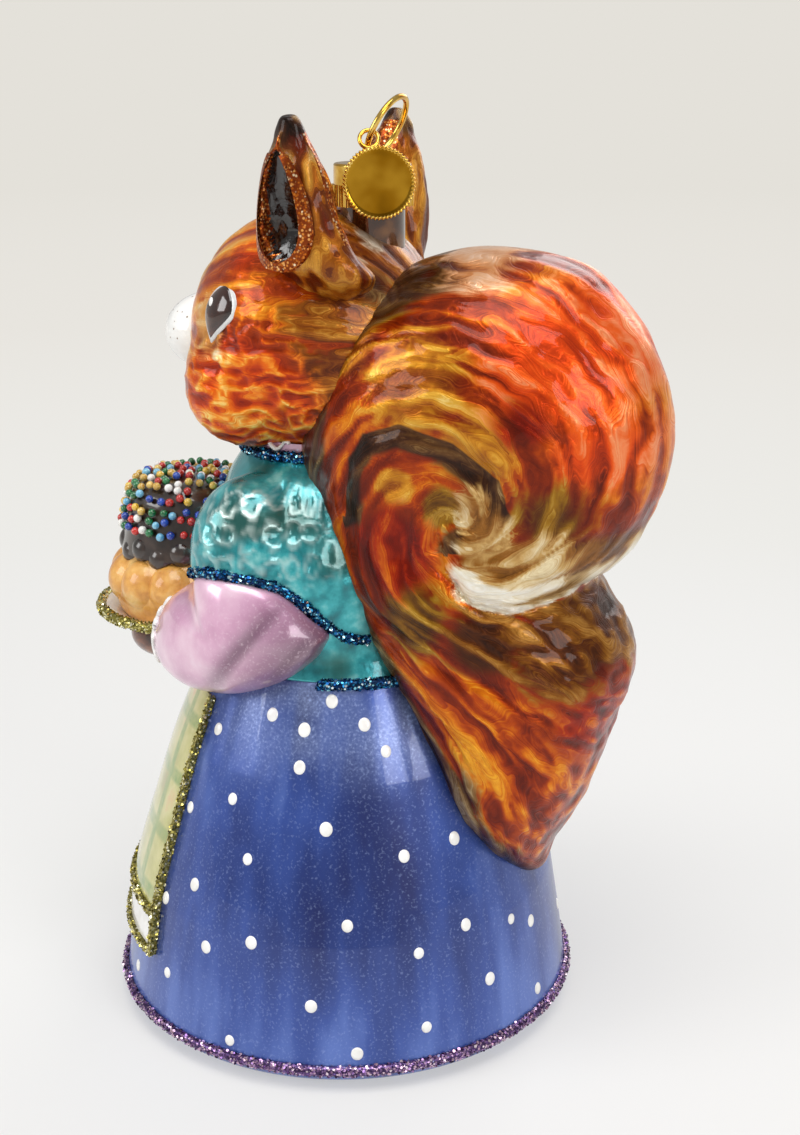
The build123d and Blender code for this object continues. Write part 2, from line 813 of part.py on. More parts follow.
# Metal cap with a crimped skirt and two holes for the clip
with BuildPart() as cap:
    with Locations((0, spout_y, cap_top)):
        Cylinder(cap_radius, cap_height, align=(Align.CENTER, Align.CENTER, Align.MAX))
    with Locations((0, spout_y, cap_top - cap_height)):
        with PolarLocations(cap_radius, cap_flute_count):
            Cylinder(cap_flute_radius, cap_height / 2, align=(Align.CENTER, Align.CENTER, Align.MIN))
    top_edge = cap.edges().group_by(Axis.Z)[-1]
    fillet(top_edge, radius=cap_sheet)
    with Locations((0, spout_y, cap_top - cap_sheet)):
        Cylinder(
            cap_radius - cap_sheet,
            cap_height,
            align=(Align.CENTER, Align.CENTER, Align.MAX),
            mode=Mode.SUBTRACT,
        )
    with Locations((0, spout_y - clip_half_width, cap_top), (0, spout_y + clip_half_width, cap_top)):
        Cylinder(clip_wire + clip_hole_clearance, 4 * cap_sheet, mode=Mode.SUBTRACT)
finish(cap, "cap")

# Wire clip: a loop above the cap and two legs inside the glass neck
hinge_height = cap_top + running_gap + ring_wire
with BuildPart() as cap_clip:
    with BuildSketch(Plane.XY.offset(hinge_height)):
        with Locations((0, spout_y + clip_half_width)):
            Circle(clip_wire)
    revolve(axis=Axis((0, spout_y, hinge_height), (1, 0, 0)), revolution_arc=half_turn)
    for side in (1, -1):
        bend_point = Vector(0, spout_y + side * clip_half_width, clip_leg_bend)
        end_point = Vector(0, spout_y + side * clip_leg_spread, clip_leg_end)
        with Locations(bend_point):
            Cylinder(
                clip_wire,
                hinge_height - clip_leg_bend,
                align=(Align.CENTER, Align.CENTER, Align.MIN),
            )
            Sphere(clip_wire)
        with Locations(Plane(origin=bend_point, z_dir=end_point - bend_point)):
            Cylinder(
                clip_wire,
                (end_point - bend_point).length,
                align=(Align.CENTER, Align.CENTER, Align.MIN),
            )
finish(cap_clip, "cap_clip")

# Hanging ring through the clip's loop
ring_up = Vector(0, sin(radians(ring_lean)), cos(radians(ring_lean)))
ring_base = Vector(0, spout_y, hinge_height)
ring_normal = Vector(1, 0, 0).cross(ring_up)
with BuildPart(Plane(origin=ring_base + ring_up * ring_radius, z_dir=ring_normal)) as hanging_ring:
    Torus(ring_radius, ring_wire)
finish(hanging_ring, "hanging_ring")

# Round tag that hangs from the ring by its eyelet
place_turn = radians(tag_place)
view_turn = radians(tag_view_turn)
tag_out = Vector(cos(view_turn), sin(view_turn), 0)
tag_side = Vector(-sin(view_turn), cos(view_turn), 0)
tag_normal = tag_out * cos(radians(tag_tilt)) + Vector(0, 0, sin(radians(tag_tilt)))
tag_down = tag_out * sin(radians(tag_tilt)) - Vector(0, 0, cos(radians(tag_tilt)))
tag_line = tag_down * cos(radians(tag_roll)) + tag_side * sin(radians(tag_roll))
eyelet_centre = ring_base + ring_up * ring_radius * (1 - cos(place_turn)) + Vector(ring_radius * sin(place_turn), 0, 0)
tag_reach = tag_radius + eyelet_radius - eyelet_overlap
tag_centre = eyelet_centre + tag_line * tag_reach
tag_plane = Plane(origin=tag_centre, x_dir=tag_line, z_dir=tag_normal)

with BuildPart(Plane(origin=eyelet_centre, z_dir=tag_normal)) as tag_eyelet:
    Torus(eyelet_radius, eyelet_wire)
finish(tag_eyelet, "tag_eyelet")

with BuildPart(tag_plane) as tag_disc:
    Cylinder(tag_radius, tag_thickness)
    with BuildSketch(tag_plane.offset(tag_thickness / 2)):
        Circle(tag_radius)
        Circle(tag_radius - tag_rim_width, mode=Mode.SUBTRACT)
    extrude(amount=tag_rim_height)
    with Locations((-tag_reach, 0, 0)):
        Torus(eyelet_radius, eyelet_wire + seam / 2, mode=Mode.SUBTRACT)
finish(tag_disc, "tag_disc")

print("ring hinge at", ring_base, "tag hinge at", eyelet_centre, "axis", -tag_side)
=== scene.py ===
"""Looks of a blown glass squirrel figurine with an iced cake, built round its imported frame.

The squirrel faces -Y, its left hand is on +X, its tail on +Y and +Z is up. The forms are drawn in millimetres
and scaled to metres when their points are placed.
"""

from math import cos, pi, radians, sin

import bpy
import numpy as np
from mathutils import Matrix, Vector
from mathutils.bvhtree import BVHTree


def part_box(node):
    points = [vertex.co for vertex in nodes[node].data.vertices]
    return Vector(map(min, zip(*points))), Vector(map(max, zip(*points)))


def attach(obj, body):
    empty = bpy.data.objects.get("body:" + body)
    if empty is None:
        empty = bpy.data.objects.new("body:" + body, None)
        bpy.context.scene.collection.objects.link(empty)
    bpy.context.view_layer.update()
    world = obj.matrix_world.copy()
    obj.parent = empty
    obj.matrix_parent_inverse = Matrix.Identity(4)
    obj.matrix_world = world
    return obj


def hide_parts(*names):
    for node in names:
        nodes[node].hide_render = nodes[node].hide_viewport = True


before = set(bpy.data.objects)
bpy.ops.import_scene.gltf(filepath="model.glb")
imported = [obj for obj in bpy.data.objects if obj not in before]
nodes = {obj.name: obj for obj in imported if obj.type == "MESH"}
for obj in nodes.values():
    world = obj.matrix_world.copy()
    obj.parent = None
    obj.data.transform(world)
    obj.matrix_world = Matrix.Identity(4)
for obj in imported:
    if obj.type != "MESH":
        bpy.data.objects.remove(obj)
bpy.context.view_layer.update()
MM = 0.001
dice = np.random.default_rng(7)


# Small tools for colours and materials


def linear(code):
    """Linear colour of an sRGB hex code."""
    shares = [int(code[place : place + 2], 16) / 255 for place in (0, 2, 4)]
    return (*[s / 12.92 if s <= 0.04045 else ((s + 0.055) / 1.055) ** 2.4 for s in shares], 1)


def add_node(tree, kind, settings, feeds):
    """Add a node with its settings and ramp stops, and link the feeds to its inputs."""
    made = tree.nodes.new(kind)
    for key, value in settings.items():
        if key == "stops":
            while len(made.color_ramp.elements) < len(value):
                made.color_ramp.elements.new(0.5)
            for element, (place, code) in zip(made.color_ramp.elements, value):
                element.position = place
                element.color = linear(code)
        elif isinstance(key, str) and hasattr(made, key):
            setattr(made, key, value)
        else:
            made.inputs[key].default_value = value
    for key, source in feeds.items():
        tree.links.new(source, made.inputs[key])
    return made


def new_finish(name, settings):
    """Start a material, and return it with its node tree, its shader and its Object coordinates."""
    finish = bpy.data.materials.new(name)
    finish.use_nodes = True
    tree = finish.node_tree
    shader = tree.nodes["Principled BSDF"]
    for key, value in settings.items():
        shader.inputs[key].default_value = value
    place = add_node(tree, "ShaderNodeTexCoord", {}, {}).outputs["Object"]
    return finish, tree, shader, place


def cloud_of(tree, place, size_mm, detail):
    """Cloudy noise with features of about the given size."""
    settings = {"Scale": 1 / (size_mm * MM), "Detail": detail}
    return add_node(tree, "ShaderNodeTexNoise", settings, {"Vector": place}).outputs["Fac"]


def patches(tree, place, size_mm, detail, stops):
    """Soft patches of colour of about the given size."""
    cloud = cloud_of(tree, place, size_mm, detail)
    return add_node(tree, "ShaderNodeValToRGB", {"stops": stops}, {"Fac": cloud}).outputs["Color"]


def coat(tree, shader, place, tint, size_mm, height_mm):
    """Give a shader its tint and a slight unevenness of the surface, of the given size and height."""
    tree.links.new(tint, shader.inputs["Base Color"])
    cloud = cloud_of(tree, place, size_mm, 2.0)
    uneven = add_node(tree, "ShaderNodeBump", {"Distance": height_mm * MM, "Strength": 1.0}, {"Height": cloud})
    tree.links.new(uneven.outputs["Normal"], shader.inputs["Normal"])
    return uneven


def patchy_coat(name, settings, patch, stops, uneven):
    """One-coat finish: patches of some size and detail, and an unevenness of some size and height, in millimetres."""
    finish, tree, shader, place = new_finish(name, settings)
    coat(tree, shader, place, patches(tree, place, *patch, stops), *uneven)
    return finish


# Small tools for forms


def ball(name, columns, rows):
    """Add a ball as the start of a closed form, and return it with the turn and rise of its points.

    The turn is the angle from the front towards the left side, and the rise goes from 0 at the bottom to 1 at the top.
    """
    bpy.ops.object.select_all(action="DESELECT")
    bpy.ops.mesh.primitive_uv_sphere_add(segments=columns, ring_count=rows, radius=1)
    piece = bpy.context.object
    piece.name = name
    points = points_of(piece)
    turn = np.arctan2(points[:, 0], -points[:, 1])
    rise = np.arcsin(np.clip(points[:, 2], -1, 1)) / pi + 0.5
    return piece, turn, rise


def points_of(piece):
    """Return the points of a piece's mesh."""
    flat = np.zeros(len(piece.data.vertices) * 3)
    piece.data.vertices.foreach_get("co", flat)
    return flat.reshape(-1, 3)


def set_points(piece, points_mm):
    """Move a piece's points to places in millimetres."""
    piece.data.vertices.foreach_set("co", (points_mm * MM).ravel())
    piece.data.update()


def normals_of(piece):
    """Return the normals of a piece's points."""
    flat = np.zeros(len(piece.data.vertices) * 3)
    piece.data.vertices.foreach_get("normal", flat)
    return flat.reshape(-1, 3)


def keep(piece, **values):
    """Keep values on a piece's points for its material."""
    for name, value in values.items():
        attribute = piece.data.attributes.new(name, "FLOAT", "POINT")
        attribute.data.foreach_set("value", np.asarray(value, np.float32))


def settle(piece, finish, slot, body, *replaced):
    """Give a piece its material, smooth shading and body, and the nodes that it stands for."""
    piece.data.materials.clear()
    piece.data.materials.append(finish)
    piece.data.polygons.foreach_set("use_smooth", [True] * len(piece.data.polygons))
    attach(piece, body)
    if replaced:
        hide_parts(*replaced)


def face_outwards():
    """Turn all faces of the active piece outwards."""
    bpy.ops.object.mode_set(mode="EDIT")
    bpy.ops.mesh.select_all(action="SELECT")
    bpy.ops.mesh.normals_make_consistent(inside=False)
    bpy.ops.object.mode_set(mode="OBJECT")


def surface_of(piece):
    """Surface of a piece as it is now, to send rays at."""
    bpy.context.view_layer.update()
    return BVHTree.FromObject(piece, bpy.context.evaluated_depsgraph_get())


def blend_in(low, high, value):
    """Go smoothly from 0 at low to 1 at high."""
    share = np.clip((value - low) / (high - low), 0, 1)
    return share * share * (3 - 2 * share)


def hill(away, width):
    """1 at 0, falling off on both sides within about the given width."""
    return np.exp(-((away / width) ** 2))


def unit(ways, least=0.0):
    """Ways of length 1."""
    return ways / (np.linalg.norm(ways, axis=-1, keepdims=True) + least)


def smooth_table(table, shares):
    """Read a table at shares of its length, with a smooth curve through its rows."""
    rows = np.array(table, float)
    steps = np.concatenate([[0], np.cumsum(np.linalg.norm(np.diff(rows, axis=0), axis=1))])
    steps /= steps[-1]
    slopes = np.gradient(rows, steps, axis=0)
    place = np.clip(np.searchsorted(steps, shares) - 1, 0, len(rows) - 2)
    gap = (steps[place + 1] - steps[place])[:, None]
    part = (shares[:, None] - steps[place][:, None]) / gap
    square, cube = part**2, part**3
    return (
        (2 * cube - 3 * square + 1) * rows[place]
        + (cube - 2 * square + part) * gap * slopes[place]
        + (3 * square - 2 * cube) * rows[place + 1]
        + (cube - square) * gap * slopes[place + 1]
    )


LATTICE = 128
lattice_noise = dice.uniform(-1, 1, LATTICE**3).astype(np.float32)


def grain(points, size):
    """Smooth noise from -1 to 1 with features of the given size."""
    cell = points.T / size
    base = np.floor(cell)
    part = (cell - base).astype(np.float32)
    base = base.astype(np.int64)
    ease = part * part * (3 - 2 * part)
    steps = [[(base[axis] + end) % LATTICE * LATTICE**axis for end in (0, 1)] for axis in range(3)]
    shares = [(1 - ease[axis], ease[axis]) for axis in range(3)]
    total = np.zeros(len(points), np.float32)
    for x, y, z in np.ndindex(2, 2, 2):
        value = lattice_noise[steps[0][x] + steps[1][y] + steps[2][z]]
        total += shares[0][x] * shares[1][y] * shares[2][z] * value
    return total


def combed(points, flow, size, length, steps, start):
    """Noise drawn out along a flow, like strands of fur or strokes of a brush, with a spread of about 1."""
    total = grain(points + start, size)
    for way in (1, -1):
        place = points.copy()
        for _ in range(steps):
            place = place + way * length / steps * flow(place)
            total += grain(place + start, size)
    return total / total.std()


def from_line(flat, line):
    """Distance of points in a plane from a drawn line, and the side that they are on."""
    nearest = np.full(len(flat), 1e9)
    side = np.zeros(len(flat))
    for start, end in zip(np.array(line[:-1], float), np.array(line[1:], float)):
        run = end - start
        share = np.clip(((flat - start) @ run) / (run @ run), 0, 1)
        away = flat - start - share[:, None] * run
        distance = np.linalg.norm(away, axis=1)
        closer = distance < nearest
        nearest = np.where(closer, distance, nearest)
        side = np.where(closer, np.sign(run[0] * away[:, 1] - run[1] * away[:, 0]), side)
    return nearest, side


def near(points, centre, reach):
    """1 at a centre, falling smoothly to 0 at its reach."""
    return 1 - blend_in(0, reach, np.linalg.norm(points - np.array(centre), axis=-1))


def spots_of(points, *spots):
    """Strongest of some soft round spots, each given by its centre, its reach and its strength."""
    return np.maximum.reduce([near(points, centre, reach) * strength for *centre, reach, strength in spots])


# Camera at the photograph's place: 115 degrees round from the front, 17 degrees down
camera_data = bpy.data.cameras.new("photo_camera")
camera_data.sensor_fit = "VERTICAL"
camera_data.sensor_height = 36
camera_data.lens = 52.0
camera = bpy.data.objects.new("photo_camera", camera_data)
bpy.context.collection.objects.link(camera)
across, upward, ahead = (-0.3896, 0.9210, 0), (-0.2729, -0.1154, 0.9551), (-0.8796, -0.3721, -0.2963)
turned = Matrix((across, upward, [-x for x in ahead])).transposed()
camera.matrix_world = Matrix.Translation((0.25207, 0.11754, 0.16517)) @ turned.to_4x4()
bpy.context.scene.camera = camera
bpy.context.scene.view_settings.view_transform = "Standard"

# Plain pale floor, which shows the camera the colour of the photograph's pale sweep and keeps its shadow
bpy.ops.object.select_all(action="DESELECT")
bpy.ops.mesh.primitive_plane_add(size=12)
floor = bpy.context.object
floor.name = "studio_floor"
floor_finish, tree, shader, place = new_finish("matt_white_card_with_painted_glow", {"Roughness": 0.7, "Specular IOR Level": 0.15})
shader.inputs["Base Color"].default_value = linear("E3E2E0")
from_figure = add_node(tree, "ShaderNodeVectorMath", {"operation": "LENGTH"}, {0: place}).outputs["Value"]
spread = add_node(tree, "ShaderNodeMapRange", {2: 2.0}, {0: from_figure}).outputs[0]
sweep = add_node(
    tree,
    "ShaderNodeValToRGB",
    {"stops": [(0.05, "F2F2F2"), (0.16, "EDECE8"), (0.4, "E8E5DF"), (1.0, "E4E1DA")]},
    {"Fac": spread},
).outputs["Color"]
# Painted light: away from the figure the floor glows for camera and glossy rays, palest near the figure and greyer
# further off
glow = add_node(tree, "ShaderNodeEmission", {}, {"Color": sweep}).outputs[0]
rays = add_node(tree, "ShaderNodeLightPath", {}, {})
seen = add_node(
    tree,
    "ShaderNodeMath",
    {"operation": "MAXIMUM"},
    {0: rays.outputs["Is Camera Ray"], 1: rays.outputs["Is Glossy Ray"]},
).outputs[0]
lit = add_node(
    tree,
    "ShaderNodeMapRange",
    {"interpolation_type": "SMOOTHSTEP", 1: 0.07, 2: 0.4, 3: 0.5, 4: 1.0},
    {0: from_figure},
).outputs[0]
share = add_node(tree, "ShaderNodeMath", {"operation": "MULTIPLY"}, {0: seen, 1: lit}).outputs[0]
blended = add_node(tree, "ShaderNodeMixShader", {}, {0: share, 1: shader.outputs[0], 2: glow})
tree.links.new(blended.outputs[0], tree.nodes["Material Output"].inputs["Surface"])
floor.data.materials.append(floor_finish)

# Soft studio light, aimed at the figure's middle
FIGURE_MIDDLE = Vector((0, 0, 0.08))
for name, spot, size, power in (
    ("soft_light_above", (0.2, 0.1, 0.8), 0.55, 4.2),
    ("soft_light_front", (0.5, -0.6, 0.45), 0.4, 2.4),
    ("soft_light_back", (0.35, 0.75, 0.4), 0.35, 2.0),
    ("soft_light_right_side", (-0.7, 0.1, 0.45), 0.5, 2.0),
):
    lamp = bpy.data.lights.new(name, "AREA")
    lamp.size = size
    lamp.energy = power
    holder = bpy.data.objects.new(name, lamp)
    holder.location = spot
    holder.rotation_euler = (FIGURE_MIDDLE - Vector(spot)).to_track_quat("-Z", "Y").to_euler()
    bpy.context.collection.objects.link(holder)

world = bpy.data.worlds.new("studio_room")
bpy.context.scene.world = world
world.use_nodes = True
tree = world.node_tree
room = tree.nodes["Background"]
room.inputs["Strength"].default_value = 0.42
room.inputs["Color"].default_value = linear("F2F1EE")
seen = add_node(tree, "ShaderNodeBackground", {"Strength": 1.0, "Color": linear("E4E1DA")}, {})
rays = add_node(tree, "ShaderNodeLightPath", {}, {})
mixed = add_node(
    tree, "ShaderNodeMixShader", {}, {0: rays.outputs["Is Camera Ray"], 1: room.outputs[0], 2: seen.outputs[0]}
)
tree.links.new(mixed.outputs[0], tree.nodes["World Output"].inputs["Surface"])


# Finishes: the gloss is the clear lacquer that the whole figure was dipped in

GLOSS = {"Coat Weight": 1.0, "Coat Roughness": 0.03, "Coat IOR": 1.5}


def fur_lacquer(name, base, zones):
    """Translucent lacquers brushed over silvered glass: strokes that follow the fur, under a clear gloss.

    The base and each zone are ramps of colour across the strokes. A zone shows where its value on the points is high.
    Real brush hairs leave lines of about 0.1 mm. They are drawn about five times as coarse, so that they show.
    """
    finish, tree, shader, place = new_finish(
        name, {**GLOSS, "Coat Weight": 0.28, "Specular IOR Level": 0.1, "Metallic": 0.45, "Roughness": 0.28}
    )
    stroke = add_node(tree, "ShaderNodeAttribute", {"attribute_name": "stroke"}, {}).outputs["Fac"]
    mottle = cloud_of(tree, place, 1.1, 3.0)
    uneven = add_node(tree, "ShaderNodeMath", {"operation": "MULTIPLY_ADD", 1: 0.24, 2: -0.5}, {0: mottle})
    drawn = add_node(tree, "ShaderNodeMath", {"operation": "ADD"}, {0: stroke, 1: uneven.outputs[0]}).outputs[0]
    strand = add_node(tree, "ShaderNodeAttribute", {"attribute_name": "strand"}, {}).outputs["Fac"]
    hairs = add_node(
        tree, "ShaderNodeTexNoise", {"noise_dimensions": "1D", "Scale": 5.0, "Detail": 3.0}, {"W": strand}
    ).outputs["Fac"]
    drawn = add_node(tree, "ShaderNodeMath", {"operation": "MULTIPLY_ADD", 1: 0.7}, {0: hairs, 2: drawn}).outputs[0]
    colour = add_node(tree, "ShaderNodeValToRGB", {"stops": base}, {"Fac": drawn}).outputs["Color"]
    for zone, stops in zones:
        there = add_node(tree, "ShaderNodeAttribute", {"attribute_name": zone}, {}).outputs["Fac"]
        ragged = add_node(tree, "ShaderNodeMath", {"operation": "MULTIPLY_ADD", 1: 0.5, 2: -0.25}, {0: drawn})
        ragged = add_node(tree, "ShaderNodeMath", {"operation": "ADD"}, {0: ragged.outputs[0], 1: there})
        share = add_node(
            tree,
            "ShaderNodeMapRange",
            {"interpolation_type": "SMOOTHSTEP", 1: 0.32, 2: 0.68},
            {0: ragged.outputs[0]},
        ).outputs[0]
        own = add_node(tree, "ShaderNodeValToRGB", {"stops": stops}, {"Fac": drawn}).outputs["Color"]
        colour = add_node(tree, "ShaderNodeMix", {"data_type": "RGBA"}, {0: share, 6: colour, 7: own}).outputs[2]
    uneven = coat(tree, shader, place, colour, 2.2, 0.12).outputs["Normal"]
    ridges = add_node(tree, "ShaderNodeBump", {"Distance": 0.14 * MM}, {"Height": hairs, "Normal": uneven})
    tree.links.new(ridges.outputs["Normal"], shader.inputs["Normal"])
    return finish


UMBER = [(0.0, "170B06"), (0.35, "3A1E0E"), (0.65, "63401F"), (0.85, "8C6A3C"), (1.0, "B39A70")]
tail_fur = fur_lacquer(
    "amber_lacquer_on_silvered_tail",
    [(0.0, "5E1603"), (0.28, "8C2A02"), (0.52, "B44402"), (0.76, "DA7408"), (1.0, "F4AC2C")],
    [
        ("gold", [(0.0, "6E2C06"), (0.3, "A0560C"), (0.6, "CC861C"), (0.85, "E4AC3C"), (1.0, "F6D47C")]),
        ("hot", [(0.0, "A82C04"), (0.4, "DA4406"), (0.7, "F0601A"), (1.0, "F79A66")]),
        ("olive", [(0.0, "341A04"), (0.35, "6C4208"), (0.65, "9A6C14"), (1.0, "D2A848")]),
        ("red", [(0.0, "480A02"), (0.4, "7E1602"), (0.7, "A82C02"), (1.0, "DC7214")]),
        ("dusk", [(0.0, "2C1004"), (0.4, "5A2A06"), (0.7, "865010"), (1.0, "B88238")]),
        ("flame", [(0.0, "6E1202"), (0.35, "B42E04"), (0.58, "E66A0C"), (0.8, "FA9A24"), (1.0, "FFC65C")]),
        ("umber", UMBER),
        ("tan", [(0.0, "5A3208"), (0.35, "966022"), (0.65, "C8A060"), (1.0, "EEDDB4")]),
        ("cream", [(0.0, "8E6A34"), (0.3, "C2A06A"), (0.6, "E6D8B8"), (1.0, "F6F2E8")]),
        # Painted sheen: pale pink at the top of the curl, standing for a reflection
        ("blush", [(0.0, "B0602C"), (0.4, "CC8650"), (0.7, "DCA67C"), (1.0, "ECC8AC")]),
    ],
)
head_fur = fur_lacquer(
    "amber_lacquer_on_silvered_head",
    [(0.0, "7C2202"), (0.28, "B04006"), (0.52, "DC760E"), (0.76, "F4A02A"), (1.0, "FCD874")],
    [
        ("brown", [(0.0, "2E1004"), (0.35, "6A2E08"), (0.65, "A0580E"), (1.0, "D89A38")]),
        ("hot", [(0.0, "8A1E02"), (0.35, "C43C04"), (0.62, "E8660A"), (0.82, "F89A2C"), (1.0, "FFDC7C")]),
        ("umber", UMBER),
        ("peach", [(0.0, "CC863C"), (0.4, "E4A658"), (0.7, "F2C688"), (1.0, "F8E4C0")]),
        ("ash", [(0.0, "6A4A34"), (0.4, "A08468"), (0.7, "C8B49C"), (1.0, "E6DCCB")]),
    ],
)

# Ear hollows: near-black gloss with a hint of brown
ear_dark = patchy_coat(
    "black_brown_enamel",
    {**GLOSS, "Roughness": 0.15},
    (3, 2.0),
    [(0.3, "0E0807"), (0.6, "26140E"), (0.8, "4A2A1A")],
    (1.6, 0.25),
)

# Skirt: pearl blue lacquer with soft brushed light and dark streaks, 9 mm wide and drawn out along the height. Real
# pearl specks are under 0.1 mm, and they are drawn 0.45 mm wide here and 0.5 mm on the sleeves, so that they show.
skirt_blue, tree, shader, place = new_finish(
    "pearl_blue_lacquer_on_glass", {**GLOSS, "Coat Weight": 0.5, "Metallic": 0.35, "Roughness": 0.32}
)
upright = add_node(tree, "ShaderNodeMapping", {"Scale": (1, 1, 0.16)}, {"Vector": place}).outputs[0]
streak = cloud_of(tree, upright, 9, 3.0)
# Painted shade: the fold value on the points darkens the lacquer in the gathers' hollows and in a patch on each back
# side; it also makes the skirt lighter towards the hem.
painted_fold_shade = add_node(tree, "ShaderNodeAttribute", {"attribute_name": "fold"}, {}).outputs["Fac"]
depth = add_node(tree, "ShaderNodeMath", {"operation": "MULTIPLY_ADD", 1: -0.5}, {0: painted_fold_shade, 2: streak})
tint = add_node(
    tree,
    "ShaderNodeValToRGB",
    {"stops": [(0.12, "141D58"), (0.36, "22397F"), (0.54, "34509F"), (0.74, "5A76C2")]},
    {"Fac": depth.outputs[0]},
).outputs["Color"]
speck = cloud_of(tree, place, 0.45, 2.0)
pearl = add_node(tree, "ShaderNodeMapRange", {1: 0.56, 2: 0.72, 3: 0.0, 4: 0.25}, {0: speck}).outputs[0]
frost = add_node(tree, "ShaderNodeAttribute", {"attribute_name": "frost"}, {}).outputs["Fac"]
frosted = add_node(tree, "ShaderNodeMath", {"operation": "MULTIPLY_ADD"}, {0: frost, 1: speck, 2: pearl}).outputs[0]
tint = add_node(tree, "ShaderNodeMix", {"data_type": "RGBA", 7: linear("9CAFE2")}, {0: frosted, 6: tint}).outputs[2]
coat(tree, shader, place, tint, 7, 0.08)

# Bodice: teal lacquer over uneven silvering, cloudy, with painted highlights on the rims where the dimples turn
bodice_teal, tree, shader, place = new_finish(
    "teal_lacquer_on_silvered_glass", {**GLOSS, "Coat Weight": 0.6, "Metallic": 0.4, "Roughness": 0.24}
)
tint = patches(tree, place, 3.2, 5.0, [(0.3, "06666E"), (0.45, "188E96"), (0.58, "3AAEB4"), (0.75, "86D2D2")])
calm = patches(tree, place, 9, 3.0, [(0.3, "3E9AA2"), (0.55, "5AB2BA"), (0.75, "86CCD0")])
front = add_node(tree, "ShaderNodeAttribute", {"attribute_name": "front"}, {}).outputs["Fac"]
tint = add_node(tree, "ShaderNodeMix", {"data_type": "RGBA"}, {0: front, 6: tint, 7: calm}).outputs[2]
for name, code in (("moss", "1C5A54"), ("rim", "E2F6F0")):
    there = add_node(tree, "ShaderNodeAttribute", {"attribute_name": name}, {}).outputs["Fac"]
    tint = add_node(tree, "ShaderNodeMix", {"data_type": "RGBA", 7: linear(code)}, {0: there, 6: tint}).outputs[2]
coat(tree, shader, place, tint, 1.8, 0.12)

# Sleeves: pink pearl lacquer, paler where the brush left it thin, with painted mauve shade in the folds and towards
# the back and bottom
sleeve_pink, tree, shader, place = new_finish(
    "pink_pearl_lacquer_on_glass", {**GLOSS, "Metallic": 0.2, "Roughness": 0.3}
)
tint = patches(tree, place, 8, 3.0, [(0.3, "CC94B6"), (0.48, "E0AECC"), (0.62, "ECC4DA"), (0.8, "F8E0EE")])
shade = add_node(tree, "ShaderNodeAttribute", {"attribute_name": "shade"}, {}).outputs["Fac"]
speck = cloud_of(tree, place, 0.5, 2.0)
pearl = add_node(tree, "ShaderNodeMapRange", {1: 0.55, 2: 0.75, 3: 0.0, 4: 0.3}, {0: speck}).outputs[0]
for there, code in ((shade, "522C48"), (pearl, "F2DCE8")):
    tint = add_node(tree, "ShaderNodeMix", {"data_type": "RGBA", 7: linear(code)}, {0: there, 6: tint}).outputs[2]
coat(tree, shader, place, tint, 5, 0.08)

# Apron: pale yellow-green enamel with peach brush marks and a check of darker green lines, one each 10 mm up the
# height and each 0.3 radians round, which is about 10 mm too
apron_plaid, tree, shader, place = new_finish("checked_apron_enamel", {**GLOSS, "Roughness": 0.3})
ground = patches(tree, place, 6, 4.0, [(0.3, "A49C50"), (0.48, "BCB96C"), (0.62, "CCC684"), (0.78, "DAAE7C")])
axes = add_node(tree, "ShaderNodeSeparateXYZ", {}, {0: place})
front_way = add_node(tree, "ShaderNodeMath", {"operation": "MULTIPLY", 1: -1.0}, {0: axes.outputs[1]}).outputs[0]
bearing = add_node(tree, "ShaderNodeMath", {"operation": "ARCTAN2"}, {0: axes.outputs[0], 1: front_way}).outputs[0]
bands = []
for source, spacing in ((bearing, 0.15), (axes.outputs[2], 5 * MM)):
    wave = add_node(tree, "ShaderNodeMath", {"operation": "PINGPONG", 1: spacing}, {0: source}).outputs[0]
    edges = {1: spacing * 0.72, 2: spacing * 0.86, 3: 0.0, 4: 0.6}
    bands.append(add_node(tree, "ShaderNodeMapRange", edges, {0: wave}).outputs[0])
check = add_node(tree, "ShaderNodeMath", {"operation": "MAXIMUM"}, {0: bands[0], 1: bands[1]}).outputs[0]
brushed = cloud_of(tree, place, 1.5, 3.0)
broken = add_node(tree, "ShaderNodeMath", {"operation": "MULTIPLY"}, {0: check, 1: brushed}).outputs[0]
broken = add_node(tree, "ShaderNodeMath", {"operation": "MULTIPLY", 1: 2.6}, {0: broken}).outputs[0]
tint = add_node(tree, "ShaderNodeMix", {"data_type": "RGBA", 7: linear("7E9A48")}, {0: broken, 6: ground}).outputs[2]
coat(tree, shader, place, tint, 3, 0.06)


def enamel(name, stops, size_mm, roughness):
    """Opaque enamel laid on by brush: slightly uneven in colour and surface, with a clear gloss."""
    return patchy_coat(name, {**GLOSS, "Roughness": roughness}, (size_mm, 3.0), stops, (size_mm / 2, 0.05))


white_enamel = enamel("white_enamel", [(0.3, "E9E7E2"), (0.5, "F5F4F1"), (0.7, "FBFBFA")], 3, 0.3)
brown_enamel = enamel("brown_enamel", [(0.3, "3A1A0E"), (0.5, "6A3820"), (0.7, "8E5634")], 3, 0.3)
chocolate_enamel = enamel("chocolate_enamel", [(0.3, "1A110D"), (0.5, "2E201A"), (0.7, "4A382E")], 4, 0.3)
eye_brown = enamel("dark_brown_eye_enamel", [(0.3, "1A0A06"), (0.55, "3A1A10"), (0.75, "6A3C28")], 3, 0.12)
eye_grey = enamel("pale_grey_enamel", [(0.3, "C9CBCB"), (0.6, "DFE1E0")], 2, 0.3)

# Cake: satin beige enamel in uneven patches, from orange brown to pale cream
sponge_beige = patchy_coat(
    "beige_cake_enamel",
    {**GLOSS, "Coat Weight": 0.6, "Roughness": 0.42},
    (4, 4.0),
    [(0.3, "C2782A"), (0.5, "E6A850"), (0.65, "F2C272"), (0.8, "F8DCA0")],
    (1.2, 0.22),
)

